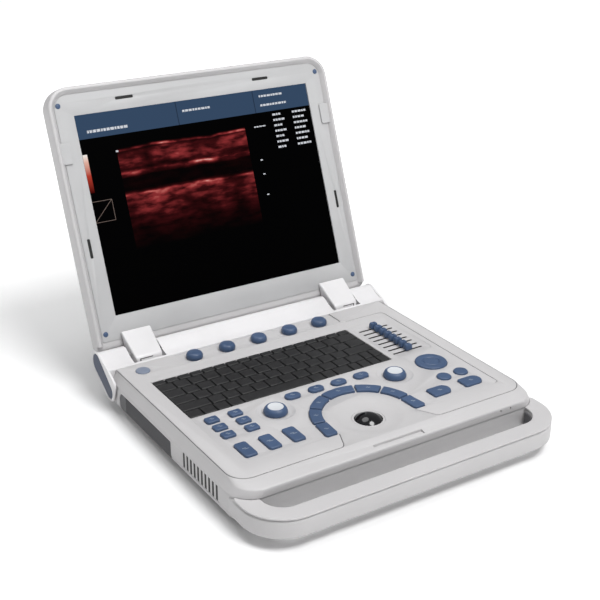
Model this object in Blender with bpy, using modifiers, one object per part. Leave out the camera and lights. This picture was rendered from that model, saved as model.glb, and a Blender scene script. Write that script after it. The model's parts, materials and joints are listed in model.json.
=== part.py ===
"""Laptop-style portable ultrasound scanner, lid open.

Sizes are in millimetres. They are written in the deck's frame: +X to the user's right, +Y away from the user,
+Z up, with z = 0 on the flat deck and y = 0 on the keyboard's rear edge. An empty carries that frame to the world,
whose origin is on the table under the middle of the whole scanner.
"""

import math

import bmesh
import bpy
from mathutils import Matrix, Vector

MM = 0.001
GAP = 0.3  # between pieces that rest on or sit in each other
RUNNING_GAP = 0.4  # round a piece that moves in an opening

# Base
BASE_WIDTH = 366.0
DECK_DEPTH = 265.0  # hump foot to front edge of the flat deck
DECK_HEIGHT = 48.0  # deck above the table
SHOULDER = 6.0  # the deck's edge slopes out this far on each side
FRONT_SLOPE = 17.0  # and this far at the front
FRONT_DROP = 3.6
SEAM_DEPTH = 12.0  # deck to the seam between cover and housing
PLATE = 6.5  # deck plate
WALL = 3.0
CORNER = 26.0
BELLY_DEPTH = 44.0  # deck to the underside
HUMP_FOOT = 46.0  # where the deck meets the hinge barrel

# Handle
HANDLE_REACH = 63.0  # flat deck to the front of the handle
HANDLE_BAR = 20.0
HANDLE_ARM = 21.0
HANDLE_PROUD = 0.8
HANDLE_CORNER = 45.0
HANDLE_EDGE = 3.0
HANDLE_DEPTH = 35.0  # deck to the handle's underside
TRIM_THICKNESS = 2.0

# Hinge barrel
HINGE_Y = 70.0
HINGE_Z = 0.0
BARREL_UPPER = (75.0, -3.0, 12.5)  # y, z, radius of the two round edges
BARREL_LOWER = (45.0, -24.0, 10.0)
CHEEK = 3.1  # white plate at each end of the barrel
CHEEK_PROUD = 0.5
CAP_UPPER = (75.8, -3.2, 11.2)
CAP_LOWER = (46.0, -23.8, 8.8)
CAP_DEPTH = 2.0
HINGE_MIDDLE = 133.0  # of each hinge cover, from the middle of the scanner
HINGE_WIDTH = 36.0
HINGE_SIDE_GAP = 1.6
NOSE_REACH = 19.5
NOSE_TAPER = 0.12  # share of its width that a hinge cover loses down to its nose
PIN_RADIUS = 4.0
PIN_LENGTH = 51.0

# Lid, in the lid's own frame: +Z up the lid and +Y to its back, from the hinge axis
LID_TILT = 21.2  # back from upright
LID_INSET = 2.0  # narrower than the base on each side
LID_FOOT = 8.0  # hinge axis to the lid's lower edge
FOOT_CURL = 7.8  # the lower edge curls back under the bezel by this much
LID_OVERHANG = 14.8  # how far the closed lid reaches past the flat deck
BEZEL_OFFSET = 10.6  # hinge axis to the bezel's face, so the closed bezel clears the controls
RIM_PROUD = 4.5
RIM_WIDTH = 8.0
LID_BACK = 22.0  # bezel face to the lid's back
LID_ROUND = 9.0
LID_TOP_CORNER = 25.0
LID_FOOT_CORNER = 8.0
BEZEL_PLATE = 1.8
BEZEL_SIDE = 21.0  # bezel between the rim and the screen
BEZEL_TOP = 24.0
BEZEL_FOOT = 27.0
DISPLAY_THICKNESS = 7.0
DISPLAY_BORDER = 5.0
HINGE_COVER_HEIGHT = 15.0  # up the bezel

# Keyboard and slider bay, which fill the deck between the knob tray and the control strip
KEYBOARD_LEFT = -157.3
KEYBOARD_RIGHT = 95.7
KEY_DEPTH = 2.1
KEY_TOP = -0.4
KEY_WEB = 2.0
KEY_GAP = 1.8
KEY_ROWS = (
    (0.62, [0.85] * 17),
    (1.0, [1.1] + [1.0] * 12 + [1.4]),
    (1.0, [1.25] + [1.0] * 12 + [1.25]),
    (1.0, [1.5] + [1.0] * 11 + [2.0]),
    (1.0, [2.0] + [1.0] * 10 + [1.1, 0.7, 0.7]),
    (1.0, [1.0, 0.9, 0.9, 0.9, 4.9, 0.95, 0.85, 1.2, 0.7, 0.75, 0.7, 0.75]),
)
BAY_LEFT = 104.0
BAY_RIGHT = 154.0
BAY_DEPTH = 1.5
SLOT_WIDTH = 2.2
SLOT_MARGIN = 4.0
SLIDER_COUNT = 8
SLIDER_HEIGHT = 5.2
SLIDER_LIFT = 1.0  # deck to the underside of a slider cap
SLIDER_WIDTH = 9.0
SLIDER_X = 127.0

# Knob tray and its knobs
TRAY_LEFT = -110.0
TRAY_RIGHT = 103.0
TRAY_FRONT = 18.0
TRAY_DEPTH = 2.0
MENU_KNOB_COUNT = 5
MENU_KNOB_FIRST = -88.6
MENU_KNOB_LAST = 77.8
MENU_KNOB_Y = 30.0
MENU_KNOB_RADIUS = 9.5
MENU_KNOB_TOP = 6.0
KNOB_STEM = 3.5
POWER_X = -153.0
POWER_Y = 28.0

# Trackball and the arch of keys round it
BALL_FROM_FRONT = 39.0
BALL_RADIUS = 19.0
BALL_TOP = 1.0
BALL_RING_RADIUS = 17.0
BALL_RING_HOLE = 14.8
BALL_RING_TOP = -4.6
BALL_RING_THICKNESS = 1.2
BALL_DISH_RADIUS = 38.0
BALL_DISH_DEPTH = 4.8
ARCH_FROM_FRONT = 41.0
ARCH_INNER = 46.5
ARCH_OUTER = 59.5
ARCH_ANGLES = (19.3, 49.8, 81.0)  # ends of the middle, shoulder and side keys, from straight back
ARCH_KEY_GAP = 2.6
ARCH_LEG = 18.0
ARCH_FLARE = 2.5
CONTROL_STRIP = 26.9  # arch to keyboard

# Rotary knobs
DIAL_X = 75.8
DIAL_FROM_FRONT = 96.0
DIAL_RADIUS = 12.7
DIAL_TOP = 5.0
DIAL_STEM = 5.0
DIAL_DISH_RADIUS = 20.0
DIAL_DISH_DEPTH = 3.0

# Push buttons: half widths, corner radius, and where they stand across and from the front
BUTTON_PROUD = 2.2
BUTTON_SINK = 5.0
BUTTON_EDGE = 0.8
PAD_RADIUS = 18.0
PAD_AT = (127.7, 98.3)
ROUND_RADIUS = 8.0
ROUND_AT = ((117.5, 63.0), (140.7, 63.0))
SMALL_KEY = (7.25, 5.5, 2.5)
SMALL_KEY_AT = [(x, y) for y in (112.0, 95.0, 78.4) for x in (-141.0, -114.0)]
LONG_KEY = (7.0, 13.25, 3.0)
LONG_KEY_AT = [(x, 45.0) for x in (-140.6, -113.3, -86.1)]
OVAL_KEY = (9.0, 5.75, 5.4)
OVAL_KEY_AT = [(x, 112.0) for x in (-45.2, -16.0, 12.8, 42.0)]
D_KEY = (12.5, 8.5, 8.0)
D_KEY_AT = ((92.7, 39.5), (135.2, 39.5))

# Inside the housing
BOARD_THICKNESS = 2.0
BOARD_DEPTH = 150.0
BATTERY_SIZE = (125.0, 80.0, 18.0)
INSIDE_MARGIN = 22.0
FOOT_WIDTH = 12.0
FOOT_MARGIN = 15.0  # from the ends of the flat deck
FOOT_INSET = 30.0

# Derived
HALF = BASE_WIDTH / 2
DECK_HALF = HALF - SHOULDER
FRONT = HUMP_FOOT - DECK_DEPTH
COVER_FRONT = FRONT - FRONT_SLOPE - 1.0
HANDLE_FRONT = FRONT - HANDLE_REACH
LID_HALF = HALF - LID_INSET
LID_TOP = HINGE_Y - FRONT + LID_OVERHANG
SCREEN_HALF = LID_HALF - RIM_WIDTH - BEZEL_SIDE
BEZEL_LOW = LID_FOOT + FOOT_CURL
SCREEN_FOOT = BEZEL_LOW + BEZEL_FOOT + WALL
SCREEN_TOP = LID_TOP - RIM_WIDTH - BEZEL_TOP
ARCH_Y = FRONT + ARCH_FROM_FRONT
KEYBOARD_FRONT = ARCH_Y + ARCH_OUTER + CONTROL_STRIP
TILT = math.radians(LID_TILT)
LAYOUT_HALF = 177.0  # the half width of deck on which the places across the deck are drawn


def across(x):
    """Place across the deck: the layout spreads with the deck."""
    return x * DECK_HALF / LAYOUT_HALF


def from_front(y):
    return FRONT + y


def lid_back_reach():
    """Rearmost y of the open lid, at the round top edge of its back."""
    t = BEZEL_OFFSET + LID_BACK - LID_ROUND
    w = LID_TOP - LID_ROUND
    return HINGE_Y + t * math.cos(TILT) + w * math.sin(TILT) + LID_ROUND


def new_collection(name):
    collection = bpy.data.collections.new(name)
    bpy.context.scene.collection.children.link(collection)
    return collection


def new_material(name, colour, roughness, metallic=0.0):
    material = bpy.data.materials.new(name)
    material.use_nodes = True
    shader = material.node_tree.nodes["Principled BSDF"]
    shader.inputs["Base Color"].default_value = (*colour, 1.0)
    shader.inputs["Roughness"].default_value = roughness
    shader.inputs["Metallic"].default_value = metallic
    material.diffuse_color = (*colour, 1.0)
    return material


def new_empty(name, parent=None, at=(0, 0, 0), turn=0.0):
    empty = bpy.data.objects.new(name, None)
    PARTS.objects.link(empty)
    empty.parent = parent
    empty.location = Vector(at) * MM
    empty.rotation_euler.x = turn
    return empty


def circle(radius, steps, x=0.0, y=0.0):
    turns = [math.tau * i / steps for i in range(steps)]
    return [(x + radius * math.cos(a), y + radius * math.sin(a)) for a in turns]


def arc(x, y, radius, start, end, steps):
    """Points along an arc, with its angles in degrees."""
    angles = [math.radians(start + (end - start) * i / steps) for i in range(steps + 1)]
    return [(x + radius * math.cos(a), y + radius * math.sin(a)) for a in angles]


def fillet(corners, steps=3):
    """Closed outline through corners (x, y, radius), each rounded by its own radius."""
    outline = []
    for i, (x, y, radius) in enumerate(corners):
        if radius <= 0:
            outline.append((x, y))
            continue
        here = Vector((x, y))
        before = (Vector(corners[i - 1][:2]) - here).normalized()
        after = (Vector(corners[(i + 1) % len(corners)][:2]) - here).normalized()
        half = before.angle(after) / 2
        middle = here + (before + after).normalized() * radius / math.sin(half)
        start = here + before * radius / math.tan(half) - middle
        end = here + after * radius / math.tan(half) - middle
        first = math.atan2(start.y, start.x)
        sweep = (math.atan2(end.y, end.x) - first + math.pi) % math.tau - math.pi
        for k in range(steps + 1):
            angle = first + sweep * k / steps
            outline.append((middle.x + radius * math.cos(angle), middle.y + radius * math.sin(angle)))
    return outline


def rectangle(left, right, front, rear, radius, steps=3, rear_radius=None):
    if rear_radius is None:
        rear_radius = radius
    corners = [(left, front, radius), (right, front, radius), (right, rear, rear_radius), (left, rear, rear_radius)]
    return fillet(corners, steps)


def capsule(upper, lower, grow=0.0, steps=8):
    """Outline round two circles (y, z, radius) of unlike size, as a belt runs round two wheels."""
    (y1, z1, r1), (y2, z2, r2) = upper, lower
    lean = math.degrees(math.atan2(z1 - z2, y1 - y2))
    spread = math.degrees(math.acos((r1 - r2) / math.hypot(y1 - y2, z1 - z2)))
    around = arc(y1, z1, r1 + grow, lean - spread, lean + spread, steps)
    return around + arc(y2, z2, r2 + grow, lean + spread, lean + 360 - spread, steps)


ALONG_X = Matrix(((0, 0, 1, 0), (1, 0, 0, 0), (0, 1, 0, 0), (0, 0, 0, 1)))  # outline (y, z), thickness along x
ALONG_Y = Matrix.Rotation(math.pi / 2, 4, "X")  # outline (x, z), thickness towards -y


def sheet(name, outlines, low, high, edge=0.0, turn=None):
    """Solid between two heights over a flat outline; outlines inside the first are holes."""
    curve = bpy.data.curves.new(name, "CURVE")
    curve.dimensions = "2D"
    curve.fill_mode = "BOTH"
    curve.extrude = ((high - low) / 2 - edge) * MM
    curve.bevel_depth = edge * MM
    curve.offset = -edge * MM
    curve.bevel_resolution = 0
    for outline in outlines:
        spline = curve.splines.new("POLY")
        spline.points.add(len(outline) - 1)
        spline.use_cyclic_u = True
        for point, (x, y) in zip(spline.points, outline):
            point.co = (x * MM, y * MM, 0, 1)
    guide = bpy.data.objects.new(name, curve)
    bpy.context.scene.collection.objects.link(guide)
    mesh = bpy.data.meshes.new_from_object(guide.evaluated_get(bpy.context.evaluated_depsgraph_get()))
    bpy.data.objects.remove(guide)
    bm = bmesh.new()
    bm.from_mesh(mesh)
    bmesh.ops.translate(bm, verts=bm.verts, vec=(0, 0, (low + high) / 2 * MM))
    bmesh.ops.remove_doubles(bm, verts=bm.verts, dist=0.00001)
    bmesh.ops.recalc_face_normals(bm, faces=bm.faces)
    if turn is not None:
        bmesh.ops.transform(bm, matrix=turn, verts=bm.verts)
    bm.to_mesh(mesh)
    bm.free()
    mesh.name = name
    mesh.materials.clear()
    return mesh


def loft(name, rings):
    """Solid through rings of (x, y, z) with equally many points, closed by flat ends."""
    mesh = bpy.data.meshes.new(name)
    bm = bmesh.new()
    loops = [[bm.verts.new(Vector(point) * MM) for point in ring] for ring in rings]
    for low, high in zip(loops, loops[1:]):
        for i in range(len(low)):
            j = (i + 1) % len(low)
            bm.faces.new((low[i], low[j], high[j], high[i]))
    bm.faces.new(loops[0])
    bm.faces.new(loops[-1])
    bmesh.ops.recalc_face_normals(bm, faces=bm.faces)
    bm.to_mesh(mesh)
    bm.free()
    return mesh


def box(name, low, high):
    mesh = bpy.data.meshes.new(name)
    bm = bmesh.new()
    size = [(b - a) * MM for a, b in zip(low, high)]
    middle = [(a + b) / 2 * MM for a, b in zip(low, high)]
    bmesh.ops.create_cube(bm, size=1.0, matrix=Matrix.Translation(middle) @ Matrix.Diagonal((*size, 1.0)))
    bm.to_mesh(mesh)
    bm.free()
    return mesh


def profile_mesh(name, profile):
    """Open profile of (radius, z), top to bottom, for a Screw modifier."""
    mesh = bpy.data.meshes.new(name)
    points = [(r * MM, 0, z * MM) for r, z in profile]
    mesh.from_pydata(points, [(i, i + 1) for i in range(len(points) - 1)], [])
    return mesh


def screw(obj, steps):
    modifier = obj.modifiers.new("turn", "SCREW")
    modifier.steps = steps
    modifier.render_steps = steps
    modifier.use_merge_vertices = True
    modifier.merge_threshold = 0.00001
    return modifier


def add(name, mesh, material, parent, at=(0, 0, 0)):
    """One named piece, with its origin at a place in its parent's frame."""
    obj = bpy.data.objects.new(name, mesh)
    PARTS.objects.link(obj)
    obj.parent = parent
    obj.location = Vector(at) * MM
    mesh.materials.clear()
    mesh.materials.append(material)
    return obj


def add_turned(name, profile, material, parent, at, steps=16):
    obj = add(name, profile_mesh(name, profile), material, parent, at)
    screw(obj, steps)
    return obj


def cutter(name, meshes, parent):
    """One hidden cutter joined from meshes that don't touch each other."""
    joined = bpy.data.meshes.new(name)
    bm = bmesh.new()
    for mesh in meshes:
        bm.from_mesh(mesh)
        bpy.data.meshes.remove(mesh)
    bm.to_mesh(joined)
    bm.free()
    obj = bpy.data.objects.new(name, joined)
    CUTTERS.objects.link(obj)
    obj.parent = parent
    obj.hide_render = True
    obj.display_type = "WIRE"
    return obj


def boolean(obj, other, operation="DIFFERENCE"):
    modifier = obj.modifiers.new(other.name, "BOOLEAN")
    modifier.operation = operation
    modifier.solver = "EXACT"
    modifier.object = other


def shade(obj, angle=35.0):
    """Smooth round faces, with sharp corners kept."""
    obj.data.shade_smooth()
    obj.data.set_sharp_from_angle(angle=math.radians(angle))


# ---------------------------------------------------------------- base

def cover_outline(side, front, corner):
    """Outline of the cover at one height, for that height's inset from the full size."""
    return rectangle(
        -HALF + side, HALF - side, COVER_FRONT + front, HUMP_FOOT - GAP, corner, steps=6, rear_radius=0.5
    )


def ring_at(outline, z):
    return [(x, y, z) for x, y in outline]


def cover_blank():
    """Top cover before its openings: upright skirt, sloped shoulders and front, flat deck."""
    levels = (
        (-SEAM_DEPTH, 0.0, 0.0, CORNER),
        (-SEAM_DEPTH + 3.0, SHOULDER * 0.3, 0.1, CORNER - 1.0),
        (-FRONT_DROP - 1.4, SHOULDER * 0.7, 0.4, CORNER - 1.5),
        (-FRONT_DROP, SHOULDER * 0.85, 1.6, CORNER - 2.0),
        (-0.4, SHOULDER - 0.3, FRONT_SLOPE - 1.5, CORNER - 4.0),
        (0.0, SHOULDER, FRONT_SLOPE + 1.0, CORNER - 5.0),
    )
    return loft("top_cover", [ring_at(cover_outline(side, front, r), z) for z, side, front, r in levels])


def turned_cutter(name, profile, x, y, steps=24):
    """Mesh of a turned shape at a place on the deck."""
    guide = bpy.data.objects.new(name, profile_mesh(name, profile))
    bpy.context.scene.collection.objects.link(guide)
    screw(guide, steps)
    mesh = bpy.data.meshes.new_from_object(guide.evaluated_get(bpy.context.evaluated_depsgraph_get()))
    mesh.transform(Matrix.Translation((x * MM, y * MM, 0)))
    bpy.data.objects.remove(guide)
    return mesh


def hole(outline, low=-SEAM_DEPTH, high=SEAM_DEPTH):
    return sheet("hole", [outline], low, high)


def moved(outline, x, y):
    return [(a + x, b + y) for a, b in outline]


def grown_rectangle(size, grow):
    half_x, half_y, radius = size
    return rectangle(-half_x - grow, half_x + grow, -half_y - grow, half_y + grow, radius + grow, 2)


def d_outline(grow=0.0):
    """Button with one straight end on the left and one round end on the right."""
    half_x, half_y, radius = (value + grow for value in D_KEY)
    corners = [(-half_x, -half_y, 2.0), (half_x, -half_y, radius), (half_x, half_y, radius), (-half_x, half_y, 2.0)]
    return fillet(corners, 4)


def arch_sector(start, end, inner, outer, steps):
    """Piece of the arch between two angles from straight back, with the smaller angle on the right."""
    rim = arc(0, ARCH_Y, outer, 90 - start, 90 - end, steps)
    return rim + arc(0, ARCH_Y, inner, 90 - end, 90 - start, steps)


def arch_leg(side, grow=0.0):
    """Lowest key on one side: a short curve, then a leg that flares towards the front."""
    start = ARCH_ANGLES[2] + math.degrees(ARCH_KEY_GAP / ARCH_OUTER) - math.degrees(grow / ARCH_OUTER)
    inner, outer = ARCH_INNER - grow, ARCH_OUTER + grow
    foot = ARCH_Y - ARCH_LEG - grow
    rim = arc(0, ARCH_Y, outer, 90 - start, 0, 3) + [(outer + ARCH_FLARE, foot)]
    back = [(inner + ARCH_FLARE / 2, foot)] + arc(0, ARCH_Y, inner, 0, 90 - start, 3)
    return [(x * side, y) for x, y in rim + back]


def arch_keys(grow=0.0):
    """Outlines of the seven arch keys, from left to right, or of their openings."""
    spread = math.degrees(ARCH_KEY_GAP / ARCH_OUTER)
    more = math.degrees(grow / ARCH_OUTER)
    inner, outer = ARCH_INNER - grow, ARCH_OUTER + grow
    top, shoulder, side = ARCH_ANGLES
    bands = [(top + spread, shoulder), (shoulder + spread, side)]
    right = [arch_sector(a - more, b + more, inner, outer, 5) for a, b in bands] + [arch_leg(1, grow)]
    left = [[(-x, y) for x, y in outline] for outline in reversed(right)]
    return left + [arch_sector(-top - more, top + more, inner, outer, 6)] + right


def slider_places():
    """y of each slider's slot, and the pitch between them."""
    pitch = -KEYBOARD_FRONT / (SLIDER_COUNT + 1.6)
    return [-pitch * (i + 1.3) for i in range(SLIDER_COUNT)], pitch


def menu_knob_places():
    step = (MENU_KNOB_LAST - MENU_KNOB_FIRST) / (MENU_KNOB_COUNT - 1)
    return [across(MENU_KNOB_FIRST + step * i) for i in range(MENU_KNOB_COUNT)]


def cover_pockets():
    """Shallow recesses in the deck, which don't touch each other."""
    tray = rectangle(across(TRAY_LEFT), across(TRAY_RIGHT), TRAY_FRONT, HUMP_FOOT + WALL, 6.0)
    bay = rectangle(across(BAY_LEFT), across(BAY_RIGHT), KEYBOARD_FRONT + KEY_GAP, 0.0, 5.0)
    above = SEAM_DEPTH
    dish = [(0, above), (DIAL_DISH_RADIUS, above), (DIAL_DISH_RADIUS, 0), (DIAL_DISH_RADIUS - 4.0, -DIAL_DISH_DEPTH)]
    dish += [(0, -DIAL_DISH_DEPTH)]
    bowl = [(0, above), (BALL_DISH_RADIUS, above), (BALL_DISH_RADIUS, 0), (BALL_DISH_RADIUS * 0.75, -2.9)]
    bowl += [(BALL_RING_RADIUS + 2.0, -BALL_DISH_DEPTH), (0, -BALL_DISH_DEPTH)]
    meshes = [hole(tray, -TRAY_DEPTH), hole(bay, -BAY_DEPTH)]
    for side in (-1, 1):
        x = across(side * DIAL_X)
        meshes.append(turned_cutter("dish", dish, x, from_front(DIAL_FROM_FRONT)))
    meshes.append(turned_cutter("bowl", bowl, 0, from_front(BALL_FROM_FRONT), 36))
    return meshes


def cover_holes():
    """Openings right through the deck plate, for the controls."""
    keyboard = rectangle(across(KEYBOARD_LEFT), across(KEYBOARD_RIGHT), KEYBOARD_FRONT, 0.0, 1.5)
    meshes = [hole(keyboard)] + [hole(outline) for outline in arch_keys(RUNNING_GAP)]
    meshes.append(hole(circle(BALL_RING_RADIUS + GAP, 28, 0, from_front(BALL_FROM_FRONT))))
    slot_left = across(BAY_LEFT) + SLOT_MARGIN
    slot_right = across(BAY_RIGHT) - SLOT_MARGIN - 4.0
    for y in slider_places()[0]:
        half = SLOT_WIDTH / 2
        meshes.append(hole(rectangle(slot_left, slot_right, y - half, y + half, half * 0.95, 2)))
    for x in menu_knob_places():
        meshes.append(hole(circle(KNOB_STEM + RUNNING_GAP, 12, x, MENU_KNOB_Y)))
    for side in (-1, 1):
        stem = circle(DIAL_STEM + RUNNING_GAP, 14, across(side * DIAL_X), from_front(DIAL_FROM_FRONT))
        meshes.append(hole(stem))
    meshes.append(hole(circle(ROUND_RADIUS + RUNNING_GAP, 20, across(POWER_X), POWER_Y)))
    meshes.append(hole(circle(PAD_RADIUS + RUNNING_GAP, 28, across(PAD_AT[0]), from_front(PAD_AT[1]))))
    for x, y in ROUND_AT:
        meshes.append(hole(circle(ROUND_RADIUS + RUNNING_GAP, 20, across(x), from_front(y))))
    for size, places in ((SMALL_KEY, SMALL_KEY_AT), (LONG_KEY, LONG_KEY_AT), (OVAL_KEY, OVAL_KEY_AT)):
        for x, y in places:
            meshes.append(hole(moved(grown_rectangle(size, RUNNING_GAP), across(x), from_front(y))))
    for x, y in D_KEY_AT:
        meshes.append(hole(moved(d_outline(RUNNING_GAP), across(x), from_front(y))))
    return meshes


def make_top_cover():
    cover = add("top_cover", cover_blank(), SHELL, BASE)
    inside = rectangle(
        -HALF + SHOULDER, HALF - SHOULDER, COVER_FRONT + WALL, HUMP_FOOT - GAP - WALL, CORNER - 6.0, 4, 2.0
    )
    boolean(cover, cutter("cover_inside", [hole(inside, -SEAM_DEPTH - 1.0, -PLATE)], BASE))
    boolean(cover, cutter("deck_pockets", cover_pockets(), BASE))
    boolean(cover, cutter("deck_holes", cover_holes(), BASE))


def housing_rings(inset, top):
    """Rings of the lower housing from its underside up; inset makes the inside of its walls."""
    levels = (
        (-BELLY_DEPTH + inset, 12.0, CORNER - 8.0),
        (-BELLY_DEPTH + 2.0 + inset, 6.0, CORNER - 5.0),
        (-BELLY_DEPTH + 8.0 + inset, 1.2, CORNER - 2.0),
        (top, HANDLE_PROUD, CORNER),
    )
    rings = []
    for z, tuck, corner in levels:
        pull = tuck + inset
        outline = rectangle(
            -HALF + pull,
            HALF - pull,
            COVER_FRONT + pull,
            HUMP_FOOT - GAP - tuck * 0.6 - inset + HANDLE_PROUD * 0.6,
            max(corner - inset, 2.0),
            steps=5,
            rear_radius=1.0,
        )
        rings.append(ring_at(outline, z))
    return rings


def handle_outline(rear=COVER_FRONT + CORNER):
    return rectangle(-HALF, HALF, HANDLE_FRONT, rear, HANDLE_CORNER, 7, HANDLE_EDGE * 2)


def handle_hole():
    half = HALF - HANDLE_ARM
    rear = COVER_FRONT + WALL * 2
    return rectangle(-half, half, HANDLE_FRONT + HANDLE_BAR, rear, HANDLE_CORNER / 2, 6, HANDLE_EDGE * 2)


def make_lower_housing():
    housing = add("lower_housing", loft("lower_housing", housing_rings(0.0, -SEAM_DEPTH - GAP)), SHELL, BASE)
    top = -SEAM_DEPTH - GAP - TRIM_THICKNESS - GAP
    loop = sheet("handle_loop", [handle_outline(), handle_hole()], -HANDLE_DEPTH, top, edge=HANDLE_EDGE)
    boolean(housing, cutter("handle_loop", [loop], BASE), "UNION")
    inside = loft("housing_inside", housing_rings(WALL, -SEAM_DEPTH + 2.0))
    boolean(housing, cutter("housing_inside", [inside], BASE))


def make_handle_trim():
    low = -SEAM_DEPTH - GAP - TRIM_THICKNESS
    rear = COVER_FRONT + CORNER * 0.6
    outlines = [handle_outline(rear), handle_hole()]
    trim = add("handle_trim", sheet("handle_trim", outlines, low, low + TRIM_THICKNESS, edge=0.7), SHELL, BASE)
    body = rectangle(-HALF, HALF, COVER_FRONT - GAP, HUMP_FOOT, CORNER, 6)
    boolean(trim, cutter("trim_notch", [hole(body, low - 2.0, low + TRIM_THICKNESS + 2.0)], BASE))


# ---------------------------------------------------------------- hinge barrel

def barrel_profile():
    """Section of the barrel in (y, z): a gentle foot on the deck, a round crest and a leaning back."""
    y1, z1, r1 = BARREL_UPPER
    y2, z2, r2 = BARREL_LOWER
    lean = math.degrees(math.atan2(z1 - z2, y1 - y2))
    crest = arc(y1, z1, r1, lean - 90, lean + 90, 10)
    foot = [(HUMP_FOOT + 15.0, 3.2), (HUMP_FOOT + 8.0, 1.0), (HUMP_FOOT, 0.0)]
    under = arc(y2, z2, r2, -82, lean - 90, 3)
    return crest + foot + [(HUMP_FOOT, z2 - r2)] + under


def cheek_outline():
    """End plate of the barrel, which also bulges forward over the side of the base."""
    y1, z1, r1 = BARREL_UPPER
    y2, z2, r2 = BARREL_LOWER
    lean = math.degrees(math.atan2(z1 - z2, y1 - y2))
    crest = [(y, z, 0) for y, z in arc(y1, z1, r1 + CHEEK_PROUD, lean - 90, lean + 90, 12)]
    low = z2 - r2 - CHEEK_PROUD * 2
    belly = [(HUMP_FOOT + 4.0, 1.5, 6.0), (HUMP_FOOT - 17.0, -10.0, 8.0), (HUMP_FOOT - 8.0, low, 7.0)]
    return fillet(crest + belly + [(HUMP_FOOT + 5.5, low, 6.0)], 3)


def make_barrel():
    barrel = add(
        "rear_barrel",
        sheet("rear_barrel", [barrel_profile()], -HALF - 1.2, HALF + 1.2, turn=ALONG_X),
        WHITE,
        BASE,
    )
    ends = []
    for side in (-1, 1):
        near, far = sorted((side * (HALF + GAP), side * (HALF + GAP + CHEEK)))
        ends.append(sheet("cheek", [cheek_outline()], near, far, edge=0.8, turn=ALONG_X))
    boolean(barrel, cutter("barrel_cheeks", ends, BASE), "UNION")
    pockets = []
    notches = []
    bores = []
    reach = NOSE_REACH + 1.0
    for side in (-1, 1):
        outside = HALF + GAP + CHEEK
        near, far = sorted((side * (outside - CAP_DEPTH), side * (outside + 5.0)))
        pockets.append(sheet("pocket", [capsule(CAP_UPPER, CAP_LOWER, GAP)], near, far, turn=ALONG_X))
        middle = side * across(HINGE_MIDDLE)
        width = HINGE_WIDTH / 2 + HINGE_SIDE_GAP
        bite = circle(reach, 28, HINGE_Y, HINGE_Z)
        notches.append(sheet("notch", [bite], middle - width, middle + width, turn=ALONG_X))
        bore = circle(PIN_RADIUS + RUNNING_GAP, 16, HINGE_Y, HINGE_Z)
        length = PIN_LENGTH / 2 + RUNNING_GAP
        bores.append(sheet("bore", [bore], middle - length, middle + length, turn=ALONG_X))
    boolean(barrel, cutter("cap_pockets", pockets, BASE))
    boolean(barrel, cutter("hinge_bores", bores, BASE))
    boolean(barrel, cutter("hinge_notches", notches, BASE))
    half = across(HINGE_MIDDLE) - PIN_LENGTH / 2 - WALL
    hollow = box("hollow", (-half, HUMP_FOOT - 5.0, -28.0), (half, HUMP_FOOT + 18.0, -9.0))
    boolean(barrel, cutter("barrel_hollow", [hollow], BASE))


def make_end_caps():
    for name, side in (("end_cap_left", -1), ("end_cap_right", 1)):
        face = HALF + GAP + CHEEK - GAP
        near, far = sorted((side * (face - CAP_DEPTH + 2 * GAP), side * face))
        add(name, sheet(name, [capsule(CAP_UPPER, CAP_LOWER)], near, far, edge=0.5, turn=ALONG_X), NAVY, BASE)


# ---------------------------------------------------------------- lid

def lid_outline(inset, foot_inset=None):
    """Outline of the lid in (x, z) of its own frame, drawn in from its outer edge."""
    foot_inset = inset if foot_inset is None else foot_inset
    half = LID_HALF - inset
    corners = [
        (-half, LID_FOOT + foot_inset, max(LID_FOOT_CORNER - foot_inset, 1.0)),
        (half, LID_FOOT + foot_inset, max(LID_FOOT_CORNER - foot_inset, 1.0)),
        (half, LID_TOP - inset, LID_TOP_CORNER - inset),
        (-half, LID_TOP - inset, LID_TOP_CORNER - inset),
    ]
    return fillet(corners, 6)


def lid_ring(inset, depth):
    """Ring of the lid's outside at a depth behind the bezel, where the lower edge curls back."""
    short = FOOT_CURL - min(max(depth, 0.0), FOOT_CURL)
    curl = FOOT_CURL - math.sqrt(FOOT_CURL**2 - short**2)
    return [(x, BEZEL_OFFSET + depth, z) for x, z in lid_outline(inset, max(inset, curl))]


def make_lid_shell():
    """Back of the lid with its raised rim, as a tray that is open to the front."""
    rings = [lid_ring(1.6, -RIM_PROUD), lid_ring(0.4, -RIM_PROUD + 1.0), lid_ring(0.0, -RIM_PROUD + 3.0)]
    rings += [lid_ring(0.0, FOOT_CURL * share) for share in (0.0, 0.3, 0.7)]
    steps = 4
    for i in range(steps + 1):
        angle = math.pi / 2 * i / steps
        inset = LID_ROUND * (1 - math.cos(angle))
        rings.append(lid_ring(inset, LID_BACK - LID_ROUND + LID_ROUND * math.sin(angle)))
    shell = add("lid_shell", loft("lid_shell", rings), SHELL, LID)
    tray = lid_outline(RIM_WIDTH, FOOT_CURL + WALL)
    front, back = -BEZEL_OFFSET, -BEZEL_OFFSET - LID_BACK + WALL
    inside = sheet("lid_inside", [tray], back, front, turn=ALONG_Y)
    boolean(shell, cutter("lid_inside", [inside], LID))
    low = lid_outline(RIM_WIDTH - 1.0, -WALL)
    opening = sheet("lid_opening", [low], front, front + RIM_PROUD * 3, turn=ALONG_Y)
    boolean(shell, cutter("lid_opening", [opening], LID))


def make_bezel():
    outer = lid_outline(RIM_WIDTH + GAP, FOOT_CURL + WALL + GAP)
    inner = rectangle(-SCREEN_HALF, SCREEN_HALF, SCREEN_FOOT, SCREEN_TOP, 0.8)
    front = -BEZEL_OFFSET
    mesh = sheet("lid_bezel", [outer, inner], front - BEZEL_PLATE, front, turn=ALONG_Y)
    add("lid_bezel", mesh, BEZEL, LID)


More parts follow.
